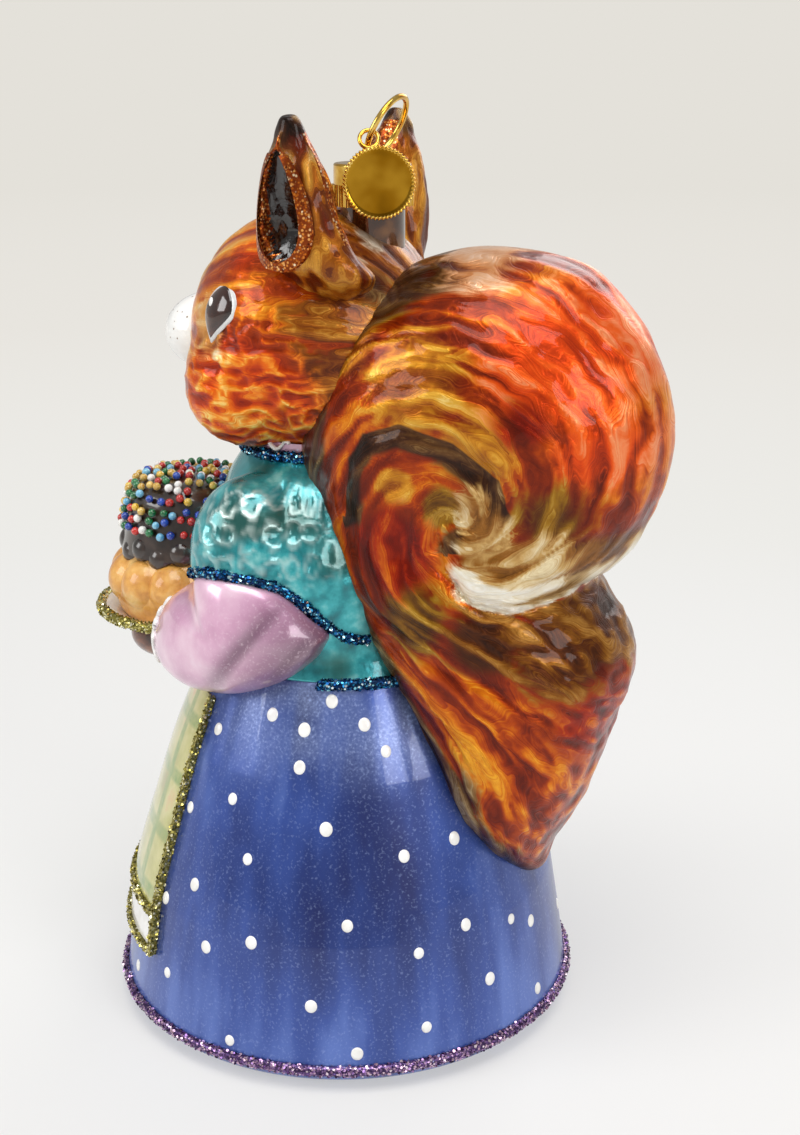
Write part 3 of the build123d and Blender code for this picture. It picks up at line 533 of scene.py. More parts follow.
# Muzzle: white enamel with tiny brown freckles, about 1.5 mm apart
muzzle_white, tree, shader, place = new_finish("freckled_white_enamel", {**GLOSS, "Roughness": 0.35})
spots = add_node(tree, "ShaderNodeTexVoronoi", {"Scale": 1 / (1.5 * MM)}, {"Vector": place}).outputs["Distance"]
tint = add_node(
    tree,
    "ShaderNodeValToRGB",
    {"stops": [(0.0, "6A5140"), (0.1, "8A7462"), (0.14, "F6F5F2"), (1.0, "FAFAF8")]},
    {"Fac": spots},
).outputs["Color"]
coat(tree, shader, place, tint, 1.0, 0.1)


# Glitters: the colour of the glue, and the shades of the grains
GLITTERS = {
    "blue_glitter": (
        "062444",
        [(0.0, "020A1C"), (0.3, "0A2E60"), (0.58, "12508C"), (0.8, "2C8CB4"), (0.93, "8CD4E6"), (1.0, "F2FCFF")],
    ),
    "purple_glitter": (
        "4A3862", [(0.0, "34224A"), (0.3, "7A5A94"), (0.6, "A884B4"), (0.85, "D7B4C8"), (1.0, "F6E6F0")],
    ),
    "gold_green_glitter": (
        "8E8640", [(0.0, "57521C"), (0.3, "9C9246"), (0.6, "C8BC6C"), (0.85, "E6DEA4"), (1.0, "FFFCE6")],
    ),
    "copper_glitter": (
        "8A3A10", [(0.0, "4A1604"), (0.3, "A4480E"), (0.6, "D87820"), (0.85, "F2AE60"), (1.0, "FFE9C4")],
    ),
}
GRAIN_MM = 0.42


def glitter(name, glue, stops):
    """Fine glitter set in tinted glue: flat grains that each catch the light their own way.

    Real grains are about 0.2 mm. They are drawn twice as coarse, so that they show.
    """
    finish, tree, shader, place = new_finish(name, {"Metallic": 0.8, "Roughness": 0.28})
    grains = add_node(tree, "ShaderNodeTexVoronoi", {"Scale": 1 / (GRAIN_MM * MM)}, {"Vector": place})
    chance = add_node(tree, "ShaderNodeSeparateColor", {}, {"Color": grains.outputs["Color"]}).outputs["Red"]
    sparkle = add_node(tree, "ShaderNodeValToRGB", {"stops": stops}, {"Fac": chance}).outputs["Color"]
    edge = add_node(tree, "ShaderNodeMapRange", {1: 0.35, 2: 0.6}, {0: grains.outputs["Distance"]}).outputs[0]
    tint = add_node(tree, "ShaderNodeMix", {"data_type": "RGBA", 7: linear(glue)}, {0: edge, 6: sparkle}).outputs[2]
    tree.links.new(tint, shader.inputs["Base Color"])
    tilt = add_node(tree, "ShaderNodeBump", {"Distance": 0.25 * MM, "Strength": 1.0}, {"Height": chance})
    tree.links.new(tilt.outputs["Normal"], shader.inputs["Normal"])
    return finish


def flake_finish(name, stops):
    """Loose flakes of metallised film: each has its own shade of the mix."""
    finish, tree, shader, place = new_finish(name, {"Metallic": 0.9, "Roughness": 0.2})
    shade = add_node(tree, "ShaderNodeAttribute", {"attribute_name": "shade"}, {}).outputs["Fac"]
    cloud = cloud_of(tree, place, 2, 2.0)
    mixed = add_node(tree, "ShaderNodeMath", {"operation": "MULTIPLY_ADD", 1: 0.3}, {0: cloud, 2: shade}).outputs[0]
    tint = add_node(tree, "ShaderNodeValToRGB", {"stops": stops}, {"Fac": mixed}).outputs["Color"]
    tree.links.new(tint, shader.inputs["Base Color"])
    return finish


glitter_finishes = {name: glitter(name, glue, stops) for name, (glue, stops) in GLITTERS.items()}
flake_finishes = {name: flake_finish(f"{name}_flakes", stops) for name, (_, stops) in GLITTERS.items()}

# Gold plate on brass: bright, with slight wear and fine marks, and smoother and deeper in colour on the pressed tag
gold_plate = patchy_coat(
    "gold_plated_brass",
    {"Metallic": 1.0, "Roughness": 0.16},
    (2.5, 3.0),
    [(0.3, "C08A2C"), (0.5, "E0B04A"), (0.7, "F2CE74")],
    (1.2, 0.02),
)
tag_gold = patchy_coat(
    "polished_gold_plate",
    {"Metallic": 1.0, "Roughness": 0.09},
    (6, 2.0),
    [(0.3, "80560A"), (0.5, "9C6C12"), (0.7, "B98A26")],
    (3, 0.01),
)

# Neck: clear glass with the brown lacquer showing through it
neck_glass = patchy_coat(
    "clear_lacquered_glass",
    {**GLOSS, "Roughness": 0.08, "Metallic": 0.3},
    (5, 2.0),
    [(0.3, "1C0C04"), (0.5, "4A260E"), (0.7, "8A5A2A")],
    (3, 0.1),
)

# Beads: small glass beads, each colour from its darker to its paler glass
BEAD_COLOURS = {
    "red": ("B01712", "D8332A"), "blue": ("10308C", "2A58C8"), "light_blue": ("4FA4D0", "8CCBE6"),
    "green": ("0F5A2E", "1F8048"), "gold": ("C79A3A", "EBCB74"), "white": ("EDEBE6", "FBFAF8"),
    "yellow": ("DDAE2A", "F4D66A"),
}
bead_finishes = {
    colour: enamel(f"{colour}_bead_glass", [(0.35, low), (0.65, high)], 1.2, 0.15)
    for colour, (low, high) in BEAD_COLOURS.items()
}


# Tail: rings from its tip on the skirt up over the curl, as height, place along Y, half width and half depth
TAIL_RINGS = (
    (27.4, 35.8, 0.0, 0.0), (27.7, 35.6, 2.0, 2.0), (33.2, 34.8, 9.5, 5.6), (43.0, 33.7, 16.5, 11.5),
    (54.3, 32.7, 19.5, 16.3), (66.0, 30.1, 21.5, 20.3), (74.9, 26.3, 22.0, 22.1), (81.1, 23.5, 22.5, 22.8),
    (88.9, 24.3, 22.8, 27.7), (98.1, 25.3, 23.5, 31.1), (107.0, 25.8, 23.5, 31.9), (115.1, 26.1, 22.5, 30.2),
    (122.0, 26.4, 20.5, 27.0), (128.0, 27.6, 16.5, 21.3), (132.5, 29.0, 11.5, 15.7), (135.6, 29.2, 5.0, 6.8),
    (135.9, 29.2, 0.0, 0.0),
)
# Lines on the tail's side, each as places along Y and Z
SWIRL_EYE = (29.0, 95.8)
TAIL_FRONT = ((33, 24), (30, 33), (24, 43), (19, 54), (14, 65), (10, 72.5), (6.5, 81), (3.5, 90), (2, 98), (1.8, 107),
              (3.2, 115), (6, 121.5), (10.5, 127.5), (17, 131.5), (26, 134.5))
CREAM_EDGE = ((52, 82.0), (45, 82.4), (38, 80.8), (32, 82.5), (27.5, 87.5), (26.5, 92))
SWIRL_EDGE = (
    (9.5, 96), (10, 104), (13, 108.6), (20, 111), (29, 108.8), (36.5, 103), (38.5, 96.5), (35.5, 91.2), (30.5, 90.5),
)
FLAME_EDGE = ((12, 79), (20, 73.5), (30, 70.5), (38, 67.6), (45, 62.5), (50, 58.6))


def tail_flow(points):
    """Way that the fur lies on the tail: up from its tip, round the curl and into the swirl's eye."""
    away = points[:, 1:] - np.array(SWIRL_EYE)
    reach = np.linalg.norm(away, axis=1) + 1e-6
    inward = 0.16 + 0.3 * (1 - blend_in(8, 26, reach)) + 0.35 * blend_in(0, 18, away[:, 0] - 0.6 * away[:, 1] - 6)
    curl = np.stack([away[:, 1] - inward * away[:, 0], -away[:, 0] - inward * away[:, 1]], axis=1) / reach[:, None]
    y, z = points[:, 1], points[:, 2]
    lean = radians(25) + radians(58) * blend_in(0, 42, 80 - z)
    lobe = np.stack([-np.cos(lean), np.sin(lean)], axis=1)
    border = np.interp(y, [0, 27, 32, 38, 45, 52], [74, 83, 81.5, 80.8, 82.4, 83])
    share = blend_in(-2, 2, border - z)[:, None]
    way = unit(curl * (1 - share) + lobe * share, 1e-6)
    sway = 0.17 * np.sin(0.8 * y + 1.9 * np.sin(0.45 * z)) + 0.13 * np.sin(1.2 * z + 1.5 * np.sin(0.6 * y))
    way = way * np.cos(sway)[:, None] + np.stack([-way[:, 1], way[:, 0]], axis=1) * np.sin(sway)[:, None]
    return np.concatenate([np.zeros((len(points), 1)), way], axis=1)


tail, turn, rise = ball("tail_fur", 330, 280)
rings = smooth_table(TAIL_RINGS, rise)
height, middle = rings[:, 0], rings[:, 1]
wide, deep = np.maximum(rings[:, 2], 0), np.maximum(rings[:, 3], 0)
deep = deep + 3.0 * hill(height - 70, 9) * blend_in(0, 0.8, -np.cos(turn))
tail_points = np.stack([wide * np.sin(turn), middle - deep * np.cos(turn), height], axis=1)
set_points(tail, tail_points)
outward = normals_of(tail)
side_view = tail_points[:, 1:]
on_side = blend_in(0.25, 0.75, np.abs(outward[:, 0]))
edge_gap, edge_side = from_line(side_view, CREAM_EDGE)
swirl_gap, swirl_side = from_line(side_view, SWIRL_EDGE)
flame_gap, flame_side = from_line(side_view, FLAME_EDGE)
front_gap, _ = from_line(side_view, TAIL_FRONT)
eye_gap = np.linalg.norm(side_view - np.array(SWIRL_EYE), axis=1)

# Carved fur in three sizes, grooves at the edges of the curl, the swirl and the flame, and a dent at the swirl's eye
stretched = tail_points * np.array([0.55, 1, 1])
broad = combed(stretched, tail_flow, 3.2, 14, 10, 0)
fine = combed(stretched, tail_flow, 1.5, 12, 14, 40)
hair = combed(stretched, tail_flow, 1.05, 8, 12, 80)
relief = 0.16 * np.clip(broad, -2, 2) + 0.1 * np.clip(fine, -2, 2) + 0.035 * np.clip(hair, -2, 2)
relief *= 0.35 + 0.65 * blend_in(0, 5, height - 28)
notch = blend_in(40, 48, side_view[:, 0]) * (1 - blend_in(1, 5, np.abs(side_view[:, 1] - 82.3)))
relief -= 1.5 * hill(edge_gap, 1.6) * np.maximum(on_side, notch)
relief += 0.9 * hill(edge_gap, 5) * (edge_side < 0) * on_side
for gap, width, dent in (
    (swirl_gap, 1.6, 0.6), (flame_gap, 1.6, 0.55), (eye_gap, 4.5, 4.2), (eye_gap - 9, 4, 1.6),
):
    relief -= dent * hill(gap, width) * on_side
set_points(tail, tail_points + outward * relief[:, None])

# Where each lacquer lies, by its place on the tail's side
border = np.interp(side_view[:, 0], [0, 27, 32, 38, 45, 52], [78, 84, 82, 80.8, 82.4, 83])
curl_side = blend_in(-1, 1, side_view[:, 1] - border)
inside_swirl = (1 - blend_in(1, 6.5, swirl_gap)) * blend_in(-0.8, 0.8, -swirl_side * swirl_gap)
low_front = blend_in(0, 30, 88 - side_view[:, 1])
behind = blend_in(26, 34, side_view[:, 0])
keep(
    tail,
    stroke=0.5 + 0.5 * np.tanh(0.42 * fine + 0.24 * broad + 0.4 * hair),
    strand=broad + 0.4 * fine,
    gold=spots_of(side_view, (22, 118, 17, 1), (9, 122, 11, 1), (33, 108, 13, 0.9), (19, 101, 6, 1)),
    hot=spots_of(side_view, (44, 121, 21, 1), (50, 108, 14, 0.8)) * curl_side,
    olive=spots_of(side_view, (27, 98, 7, 1), (22, 79, 13, 1), (44, 97, 14, 0.8), (14, 131, 12, 1)),
    red=spots_of(side_view, (18, 90, 14, 1.1), (32, 101, 8, 0.5), (52, 60, 14, 1), (40, 112, 9, 0.8)),
    dusk=spots_of(side_view, (46, 75, 17, 1), (34, 76, 13, 1)) * (1 - curl_side)
    * blend_in(-0.8, 0.8, flame_side * flame_gap),
    flame=(1 - blend_in(7, 19, flame_gap)) * blend_in(-0.8, 0.8, -flame_side * flame_gap) * (1 - curl_side) * 1.15,
    umber=np.maximum.reduce([
        (1 - blend_in(2.0, 5.5 + 6.5 * low_front, front_gap)) * (0.7 + 0.3 * low_front),
        inside_swirl * 1.1,
        spots_of(side_view, (27, 47, 11, 1), (33, 34, 9, 1)),
    ]),
    tan=(1 - blend_in(7, 17, edge_gap)) * curl_side * behind,
    cream=(1 - blend_in(1.5, 5.5 + 6 * blend_in(38, 54, side_view[:, 0]), edge_gap)) * curl_side * behind * 1.15,
    # Painted sheen at the top of the curl
    blush=spots_of(side_view, (28, 137, 14, 0.85)),
)
settle(tail, tail_fur, "amber_silvered_glass", "figure", "tail")


# Head: one ball with two full cheeks, shaped with a brow, a socket for each eye and ruffled cheek fur
HEAD_MIDDLE = np.array([0, -4.3, 121.0])
SKULL = 21.5
NOSE = np.array([0, -31, 121.0])
CHEEK_MIDDLE, CHEEK = np.array([9.5, -12.5, 113.2]), 11.0
EYE_ANGLE, EYE_LIFT = radians(64), radians(14)


def gaze_of(side):
    """Way from the head's middle through the middle of an eye."""
    return np.array([side * sin(EYE_ANGLE) * cos(EYE_LIFT), -cos(EYE_ANGLE) * cos(EYE_LIFT), sin(EYE_LIFT)])


def ray_to_ball(way, centre, radius):
    """Distance from the head's middle along each way to a ball's far side."""
    offset = centre - HEAD_MIDDLE
    along = way @ offset
    inside = along**2 - offset @ offset + radius**2
    return np.where(inside > 0, along + np.sqrt(np.maximum(inside, 0)), 0)


def head_flow(points):
    """Way that the fur lies on the head: back from the nose, along the surface."""
    away = points - NOSE
    out = unit(points - HEAD_MIDDLE, 1e-6)
    return unit(away - (away * out).sum(axis=1)[:, None] * out, 1e-6)


head, turn, rise = ball("head_fur", 260, 200)
way = points_of(head)
distances = [1 / np.linalg.norm(way / np.array([SKULL, SKULL, 21.0]), axis=1)]
for side in (1, -1):
    distances.append(ray_to_ball(way, CHEEK_MIDDLE * (side, 1, 1), CHEEK))
reach = np.log(sum(np.exp(d * 1.1) for d in distances)) / 1.1
head_points = HEAD_MIDDLE + way * np.minimum(reach, np.maximum.reduce(distances) + 0.5)[:, None]
eye_relief = np.zeros(len(way))
for side in (1, -1):
    gaze = gaze_of(side)
    gap = np.arccos(np.clip(way @ gaze, -1, 1)) * SKULL
    eye_relief -= 0.7 * hill(gap, 4.6)
    brow = np.linalg.norm((head_points - (HEAD_MIDDLE + SKULL * gaze)) - np.array([0, 1.5, 6.8]), axis=1)
    eye_relief += 0.5 * hill(brow, 3.6)
broad = combed(head_points, head_flow, 3.2, 8, 8, 0)
fine = combed(head_points, head_flow, 1.1, 6, 12, 30)
sided = np.hstack([np.abs(head_points[:, :1]), head_points[:, 1:]])
cheek = np.clip(1.6 * near(sided, (18, -8, 113), 20), 0, 1)
cheek *= blend_in(-27, -20, head_points[:, 1] + 0.3 * (head_points[:, 2] - 112))
warped = head_points + 1.1 * np.stack([grain(head_points + shift, 3) for shift in (5, 60, 120)], axis=1)
ruffle = 1 - np.abs(grain(warped * np.array([1, 1, 1.25]), 2.4)) ** 0.8
back = blend_in(-4, 6, head_points[:, 1])
relief = eye_relief + 0.12 * np.clip(broad, -2, 2) * (0.6 + back) + 0.05 * np.clip(fine, -2, 2)
relief += 0.62 * (ruffle**2 - 0.5) * cheek
set_points(head, head_points + way * relief[:, None])
ragged_back = head_points[:, 1] + 5 * grain(head_points, 6) + 2 * fine
keep(
    head,
    stroke=0.5 + 0.5 * np.tanh(0.4 * fine + 0.25 * broad + 2.0 * cheek * (ruffle**2 - 0.5)),
    strand=broad + 0.4 * fine,
    brown=blend_in(-5, 6, ragged_back) * 0.85,
    hot=np.maximum(cheek * 0.9, near(sided, (16, -10, 135), 9) * 0.8),
    umber=np.maximum(1 - blend_in(101.0, 105.0, head_points[:, 2]), near(sided, (13, 13, 132), 8)),
    peach=spots_of(sided, (7, -25, 117, 14, 1.15), (18, -15.5, 123.5, 9.5, 1), (8, -22, 131, 10, 0.8)),
    ash=spots_of(sided, (6, 10, 139, 7, 1), (12, 10, 136, 5, 1)),
)
settle(head, head_fur, "amber_silvered_glass", "figure", "head")


# Nose: small and low, so that it stands out little from the muzzle
low, high = (np.array(corner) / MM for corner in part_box("nose"))
nose, *_ = ball("nose_small", 32, 20)
muzzle_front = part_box("muzzle")[0][1] / MM
nose_middle = np.array([0, muzzle_front + 1.15, (low[2] + high[2]) / 2 - 0.7])
nose_size = np.array([(high[0] - low[0]) * 0.45, 1.35, (high[2] - low[2]) * 0.38])
set_points(nose, nose_middle + points_of(nose) * nose_size)
settle(nose, brown_enamel, "brown_enamel", "figure", "nose")


# Eyes: a dark drop with a pale outline and a painted glint
def eye_form(name, side, width, height_up, height_down, dome, lift):
    """Drop-shaped dome lying on the head."""
    piece, *_ = ball(name, 40, 20)
    flat = points_of(piece)
    gaze = gaze_of(side)
    back_way = unit(np.cross((0, 0, side), gaze))
    up_way = np.cross(gaze, back_way) * side
    across, upward = flat[:, 0], flat[:, 2]
    tall = np.where(upward > 0, height_up, height_down)
    pinch = 1 - np.where(upward > 0, 0.25 * np.abs(upward) ** 2, 0.8 * np.abs(upward) ** 1.4)
    lean = np.where(upward > 0, 0.1 * upward, 0.3 * upward) * height_up
    spread = np.stack([across * width * pinch + lean, upward * tall], axis=1)
    sink = (spread**2).sum(axis=1) / (2 * SKULL)
    out = np.where(flat[:, 1] < 0, -flat[:, 1] * dome, -flat[:, 1] * 0.8)
    points = HEAD_MIDDLE + gaze * (SKULL + lift + out - sink)[:, None]
    points = points + np.outer(spread[:, 0], back_way) + np.outer(spread[:, 1], up_way)
    set_points(piece, points)
    if side < 0:
        piece.data.flip_normals()
    return piece, gaze, back_way, up_way


for side, hand in ((1, "left"), (-1, "right")):
    outline, *_ = eye_form(f"eye_outline_{hand}", side, 4.2, 4.9, 5.3, 0.55, -0.45)
    settle(outline, eye_grey, "white_enamel", "figure")
    pupil, gaze, back_way, up_way = eye_form(f"eye_{hand}_drop", side, 3.55, 4.25, 4.5, 1.0, -0.3)
    settle(pupil, eye_brown, "eye_enamel", "figure", f"eye_{hand}")
    glint, *_ = ball(f"eye_glint_{hand}", 16, 8)
    spot = HEAD_MIDDLE + gaze * (SKULL + 0.6) - back_way * 1.1 + up_way * 1.3
    flat = points_of(glint)
    spread = np.outer(flat[:, 0] * 0.5, back_way) + np.outer(flat[:, 2] * 0.75, up_way)
    set_points(glint, spot + spread + np.outer(flat[:, 1] * -0.15, gaze))
    settle(glint, white_enamel, "white_enamel", "figure")


# Ears: a tapering cup, open on its outer front side, with a glitter rim round a dark hollow. The rings give shares of
# the height, the half width and the half depth.
EAR_RINGS = (
    (0.0, 0.0, 0.0), (0.04, 0.5, 0.5), (0.2, 0.98, 0.95), (0.47, 0.97, 0.92), (0.72, 0.72, 0.72), (0.89, 0.42, 0.45),
    (0.988, 0.2, 0.24), (1.0, 0.0, 0.0),
)
EAR_ROOT, EAR_TIP = np.array([14.0, 1.2, 125.5]), np.array([21.2, 1.5, 157.0])
EAR_WIDE, EAR_DEEP, EAR_TURN = 7.4, 5.6, radians(22)

for side, hand in ((1, "left"), (-1, "right")):
    ear, turn, rise = ball(f"ear_{hand}_fur", 150, 170)
    table = smooth_table(EAR_RINGS, rise)
    root, tip = EAR_ROOT * (side, 1, 1), EAR_TIP * (side, 1, 1)
    up_way = unit(tip - root)
    open_way = unit(np.cross((side * sin(EAR_TURN), cos(EAR_TURN), 0), up_way) * side)
    width_way = np.cross(up_way, open_way)
    level = table[:, 0]
    round_x, round_y = np.sin(turn), np.cos(turn)
    flare = 1 + 0.7 * (1 - blend_in(0.2, 0.55, level)) * blend_in(0.04, 0.26, level) * blend_in(0, 1, round_x)
    reach_x = np.maximum(table[:, 1], 0) * EAR_WIDE * round_x * flare
    reach_y = np.maximum(table[:, 2], 0) * EAR_DEEP * round_y
    fill = np.interp(level, [0, 0.28, 0.35, 0.5, 0.67, 0.82, 0.87, 1], [0, 0, 0.5, 0.72, 0.68, 0.42, 0, 0])
    limit = np.maximum(table[:, 1], 1e-3) * EAR_WIDE
    bowl = np.clip(1 - (reach_x / (limit * np.maximum(fill, 1e-3))) ** 2, 0, 1) * (round_y > 0)
    hollow = np.sqrt(bowl) * (fill > 0.02)
    depth = hollow * np.interp(level, [0.26, 0.42, 0.58, 0.87], [1.5, 6.5, 5.0, 0.8])
    lip = hill(np.abs(reach_x) / limit - fill, 0.13) * (round_y > 0)
    lip *= blend_in(0.24, 0.32, level) * (1 - blend_in(0.87, 0.96, level))
    points = root + np.outer(level * np.linalg.norm(tip - root), up_way)
    sunk = 3.6 * (1 - blend_in(0.12, 0.36, level))
    points = points + np.outer(reach_x, width_way) + np.outer(reach_y - depth + 0.5 * lip - sunk, open_way)
    set_points(ear, points)
    outward = normals_of(ear)
    inner_back = (round_y < -0.1) & (round_x > -0.2) & (level > 0.38 + 0.05 * grain(points, 2)) & (level < 0.93)
    streak = combed(points, lambda spot: np.tile(up_way, (len(spot), 1)), 1.3, 7, 8, 0)
    relief = 0.16 * np.clip(streak, -2, 2) * (1 - hollow) * blend_in(0, 0.1, level) * (1 - blend_in(0.9, 1, level))
    set_points(ear, points + outward * relief[:, None])
    keep(
        ear,
        stroke=0.5 + 0.5 * np.tanh(0.8 * streak),
        strand=streak,
        brown=np.full(len(points), 0.75),
        umber=blend_in(0.72, 1.0, level),
        **{zone: np.zeros(len(points)) for zone in ("hot", "peach", "ash")},
    )
    settle(ear, head_fur, "amber_silvered_glass", "figure", f"ear_{hand}")
    ear.data.materials.append(ear_dark)
    ear.data.materials.append(glitter_finishes["copper_glitter"])
    for face in ear.data.polygons:
        spots = np.array(face.vertices)
        if hollow[spots].mean() > 0.35 and level[spots].mean() > 0.25:
            face.material_index = 1
        elif lip[spots].mean() > 0.3 or inner_back[spots].all():
            face.material_index = 2


# Skirt: turned form with a flat closed base and soft gathers under the waist. Its side is given from the hem up, as
# heights and radii.
SKIRT_SIDE = (
    (3.2, 41.3), (4.8, 41.1), (12.4, 39.9), (24.4, 38.0), (29.5, 36.6), (37.2, 34.1), (50.2, 29.8), (58.4, 26.5),
    (66.0, 23.5),
)
HEM_ROUND, BASE, WAIST_HEIGHT, WAIST = 3.2, 36, 66.0, 23.5


def skirt_reach(height, turn):
    """Radius of the skirt at a height and turn, with its gathers, and how deep in a gather that is."""
    heights, radii = zip(*SKIRT_SIDE)
    plain = np.interp(height, heights, radii)
    ring = np.stack([np.sin(turn) * 9, -np.cos(turn) * 9, np.zeros_like(turn)], axis=1)
    folds = grain(ring, 1.7) + 0.6 * grain(ring + 50, 0.9)
    strength = blend_in(30, 60, height) * (1 - 0.7 * blend_in(63.5, 66, height))
    soft = grain(ring + 20, 5) * blend_in(4, 14, height) * (1 - strength)
    return plain + 0.42 * folds * strength + 0.25 * soft, np.clip(-folds, 0, 1) * strength


skirt, turn, rise = ball("skirt_gathers", 340, 200)
side_share = np.clip((rise - 0.18) / 0.77, 0, 1)
lower, upper = rise < 0.18, rise > 0.95
height = HEM_ROUND + side_share * (WAIST_HEIGHT - HEM_ROUND)
reach, fold = skirt_reach(height, turn)
bend = np.clip((rise - 0.12) / 0.06, 0, 1) * pi / 2
reach = np.where(lower, np.where(rise < 0.12, BASE * rise / 0.12, BASE + 5.3 * np.sin(bend)), reach)
height = np.where(lower, np.where(rise < 0.12, 0, HEM_ROUND * (1 - np.cos(bend))), height)
reach = np.where(upper, WAIST * (1 - rise) / 0.05, reach)
fold = np.where(lower | upper, 0, fold)
set_points(skirt, np.stack([reach * np.sin(turn), -reach * np.cos(turn), height], axis=1))
frost = blend_in(46, 62, height) * blend_in(0.9, 1.5, np.abs(turn))
frost *= np.clip(0.6 + grain(points_of(skirt) / MM, 5), 0, 1)
# Painted shade in the gathers' hollows and in a patch on each back side at mid height, and lighter colour towards the
# hem
shaded_side = hill(np.abs(turn) - 2.15, 0.42) * hill(height - 36, 16)
fold = fold + 0.42 * shaded_side - 0.34 * (1 - blend_in(4, 24, height))
keep(skirt, fold=fold, frost=frost)
settle(skirt, skirt_blue, "blue_pearl_glass", "figure", "skirt")


def loose_middles(mesh):
    """Middles in millimetres of the loose solids of a CAD node's mesh."""
    link = list(range(len(mesh.vertices)))
    first_there = {}

    def root_of(index):
        while link[index] != index:
            link[index] = link[link[index]]
            index = link[index]
        return index

    for vertex in mesh.vertices:
        spot = tuple(round(c * 1e6) for c in vertex.co)
        link[vertex.index] = first_there.setdefault(spot, vertex.index)
    for face in mesh.polygons:
        first, *others = [root_of(v) for v in face.vertices]
        for other in others:
            link[root_of(other)] = root_of(first)
    islands = {}
    for vertex in mesh.vertices:
        islands.setdefault(root_of(vertex.index), []).append(vertex.co)
    return [sum(spots, Vector()) / len(spots) / MM for spots in islands.values()]


# Dots: low domes of enamel where the CAD dots are
dots = []
for number, middle in enumerate(loose_middles(nodes["skirt_dots"].data)):
    angle = np.arctan2(middle.x, -middle.y)
    dot, *_ = ball(f"dot_{number}", 20, 10)
    flat = points_of(dot)
    size = 1.0 + 0.12 * dice.uniform(-1, 1)
    spread_turn = angle + flat[:, 0] * size / np.hypot(middle.x, middle.y)
    spread_height = middle.z + flat[:, 2] * size * 1.06
    base, _ = skirt_reach(spread_height, spread_turn)
    out = base + np.where(flat[:, 1] < 0, -flat[:, 1] * 0.3, -flat[:, 1] * 0.4)
    set_points(dot, np.stack([out * np.sin(spread_turn), -out * np.cos(spread_turn), spread_height], axis=1))
    dots.append(dot)
bpy.ops.object.select_all(action="DESELECT")
for dot in dots:
    dot.select_set(True)
bpy.context.view_layer.objects.active = dots[0]
bpy.ops.object.join()
dots[0].name = "skirt_enamel_dots"
settle(dots[0], white_enamel, "white_enamel", "figure", "skirt_dots")


# Bodice: the CAD form taken by rays from outside, then hammered with oval dimples in upright columns
BODICE_BOTTOM, BODICE_TALL, BODICE_AXIS = 66.05, 34.9, -3
RAY_START = 60
DIMPLE_WIDE = 3.1

bodice, turn, rise = ball("bodice_hammered", 260, 130)
level = np.clip((rise - 0.06) / 0.88, 0, 1)
height = BODICE_BOTTOM + BODICE_TALL * level
shape = surface_of(nodes["bodice"])
reach = np.zeros(len(turn))
for number, (angle, z) in enumerate(zip(turn, height)):
    way = Vector((sin(angle), -cos(angle), 0))
    start = Vector((0, BODICE_AXIS, z)) * MM + way * RAY_START * MM
    hit, _, _, distance = shape.ray_cast(start, -way)
    reach[number] = RAY_START - distance / MM if hit else 13
rim_share = np.minimum(np.clip(rise / 0.06, 0, 1), np.clip((1 - rise) / 0.06, 0, 1))
across = turn * 24 / DIMPLE_WIDE + 0.25 * np.sin(height / 5)
column = np.floor(across)
shift = dice.uniform(0, 1, 200)[(column + 100).astype(int)]
up = height / (4.4 + 1.8 * shift) + 7 * shift
cell = np.hypot((across - column - 0.5) * 2, (up - np.floor(up) - 0.5) * 2)
bodice_points = np.stack([reach * np.sin(turn), BODICE_AXIS - reach * np.cos(turn), height], axis=1)
cell += 0.35 * grain(bodice_points, 1.4)
hammered = blend_in(0.95, 1.25, np.abs(turn)) * (1 - 0.75 * blend_in(1.75, 2.1, np.abs(turn)))
hammered *= blend_in(0.42, 0.56, level) * (1 - blend_in(0.84, 0.96, level))
# Each dimple's rim is raised a little, and through the rim value it also carries a painted highlight
ring_mark = hill(cell - 0.74, 0.15) * hammered
dimple = -0.5 * (1 - blend_in(0.0, 0.85, cell)) * hammered + 0.22 * ring_mark
reach = (reach + dimple + 0.12 * grain(bodice_points, 4)) * rim_share
set_points(bodice, np.stack([reach * np.sin(turn), BODICE_AXIS - reach * np.cos(turn), height], axis=1))
patchy = blend_in(0.1, 0.6, grain(bodice_points, 8))
keep(
    bodice,
    rim=ring_mark * (0.35 + 0.65 * patchy),
    front=1 - blend_in(0.9, 1.3, np.abs(turn)),
    moss=np.clip(grain(bodice_points + 9, 6) * 1.4, 0, 1) * blend_in(0.9, 1.4, np.abs(turn)),
)
settle(bodice, bodice_teal, "teal_silvered_glass", "figure", "bodice")

# Sleeves: full at the elbow and drawn out behind to a point at the waist, with one soft slanting fold. The middle is
# a place along Y and Z, and the lines are places on the left side.
SLEEVE_MIDDLE = (-9.5, 72.8)
SLEEVE_REACH = 31.3
SLEEVE_EDGE = (
    (23.4, 8.2, 73.7), (24.5, 5.6, 76.5), (26.0, 2.5, 79.8), (27.0, -2.4, 82.7), (25.0, -8.6, 83.8),
    (21.5, -14.9, 83.0), (18.5, -19.3, 80.0), (15.5, -24.8, 76.0), (13.8, -28.6, 71.4), (13.6, -29.8, 67.0),
    (15.0, -28.4, 63.9), (17.5, -24.6, 62.0), (20.5, -18.6, 61.2), (23.3, -10.2, 62.2), (24.0, -3.3, 64.4),
    (23.6, 2.2, 67.2), (23.4, 6.2, 71.2),
)
ARMHOLE_LINE = (
    (17.9, -20.3, 79.6), (18.7, -19.3, 81.0), (21.5, -14.9, 83.7), (25.0, -8.6, 84.5), (27.0, -2.4, 83.4),
    (26.0, 2.5, 80.5), (24.5, 5.8, 77.2), (23.0, 8.6, 74.2), (21.5, 11.6, 73.0), (21.0, 13.0, 72.8),
)


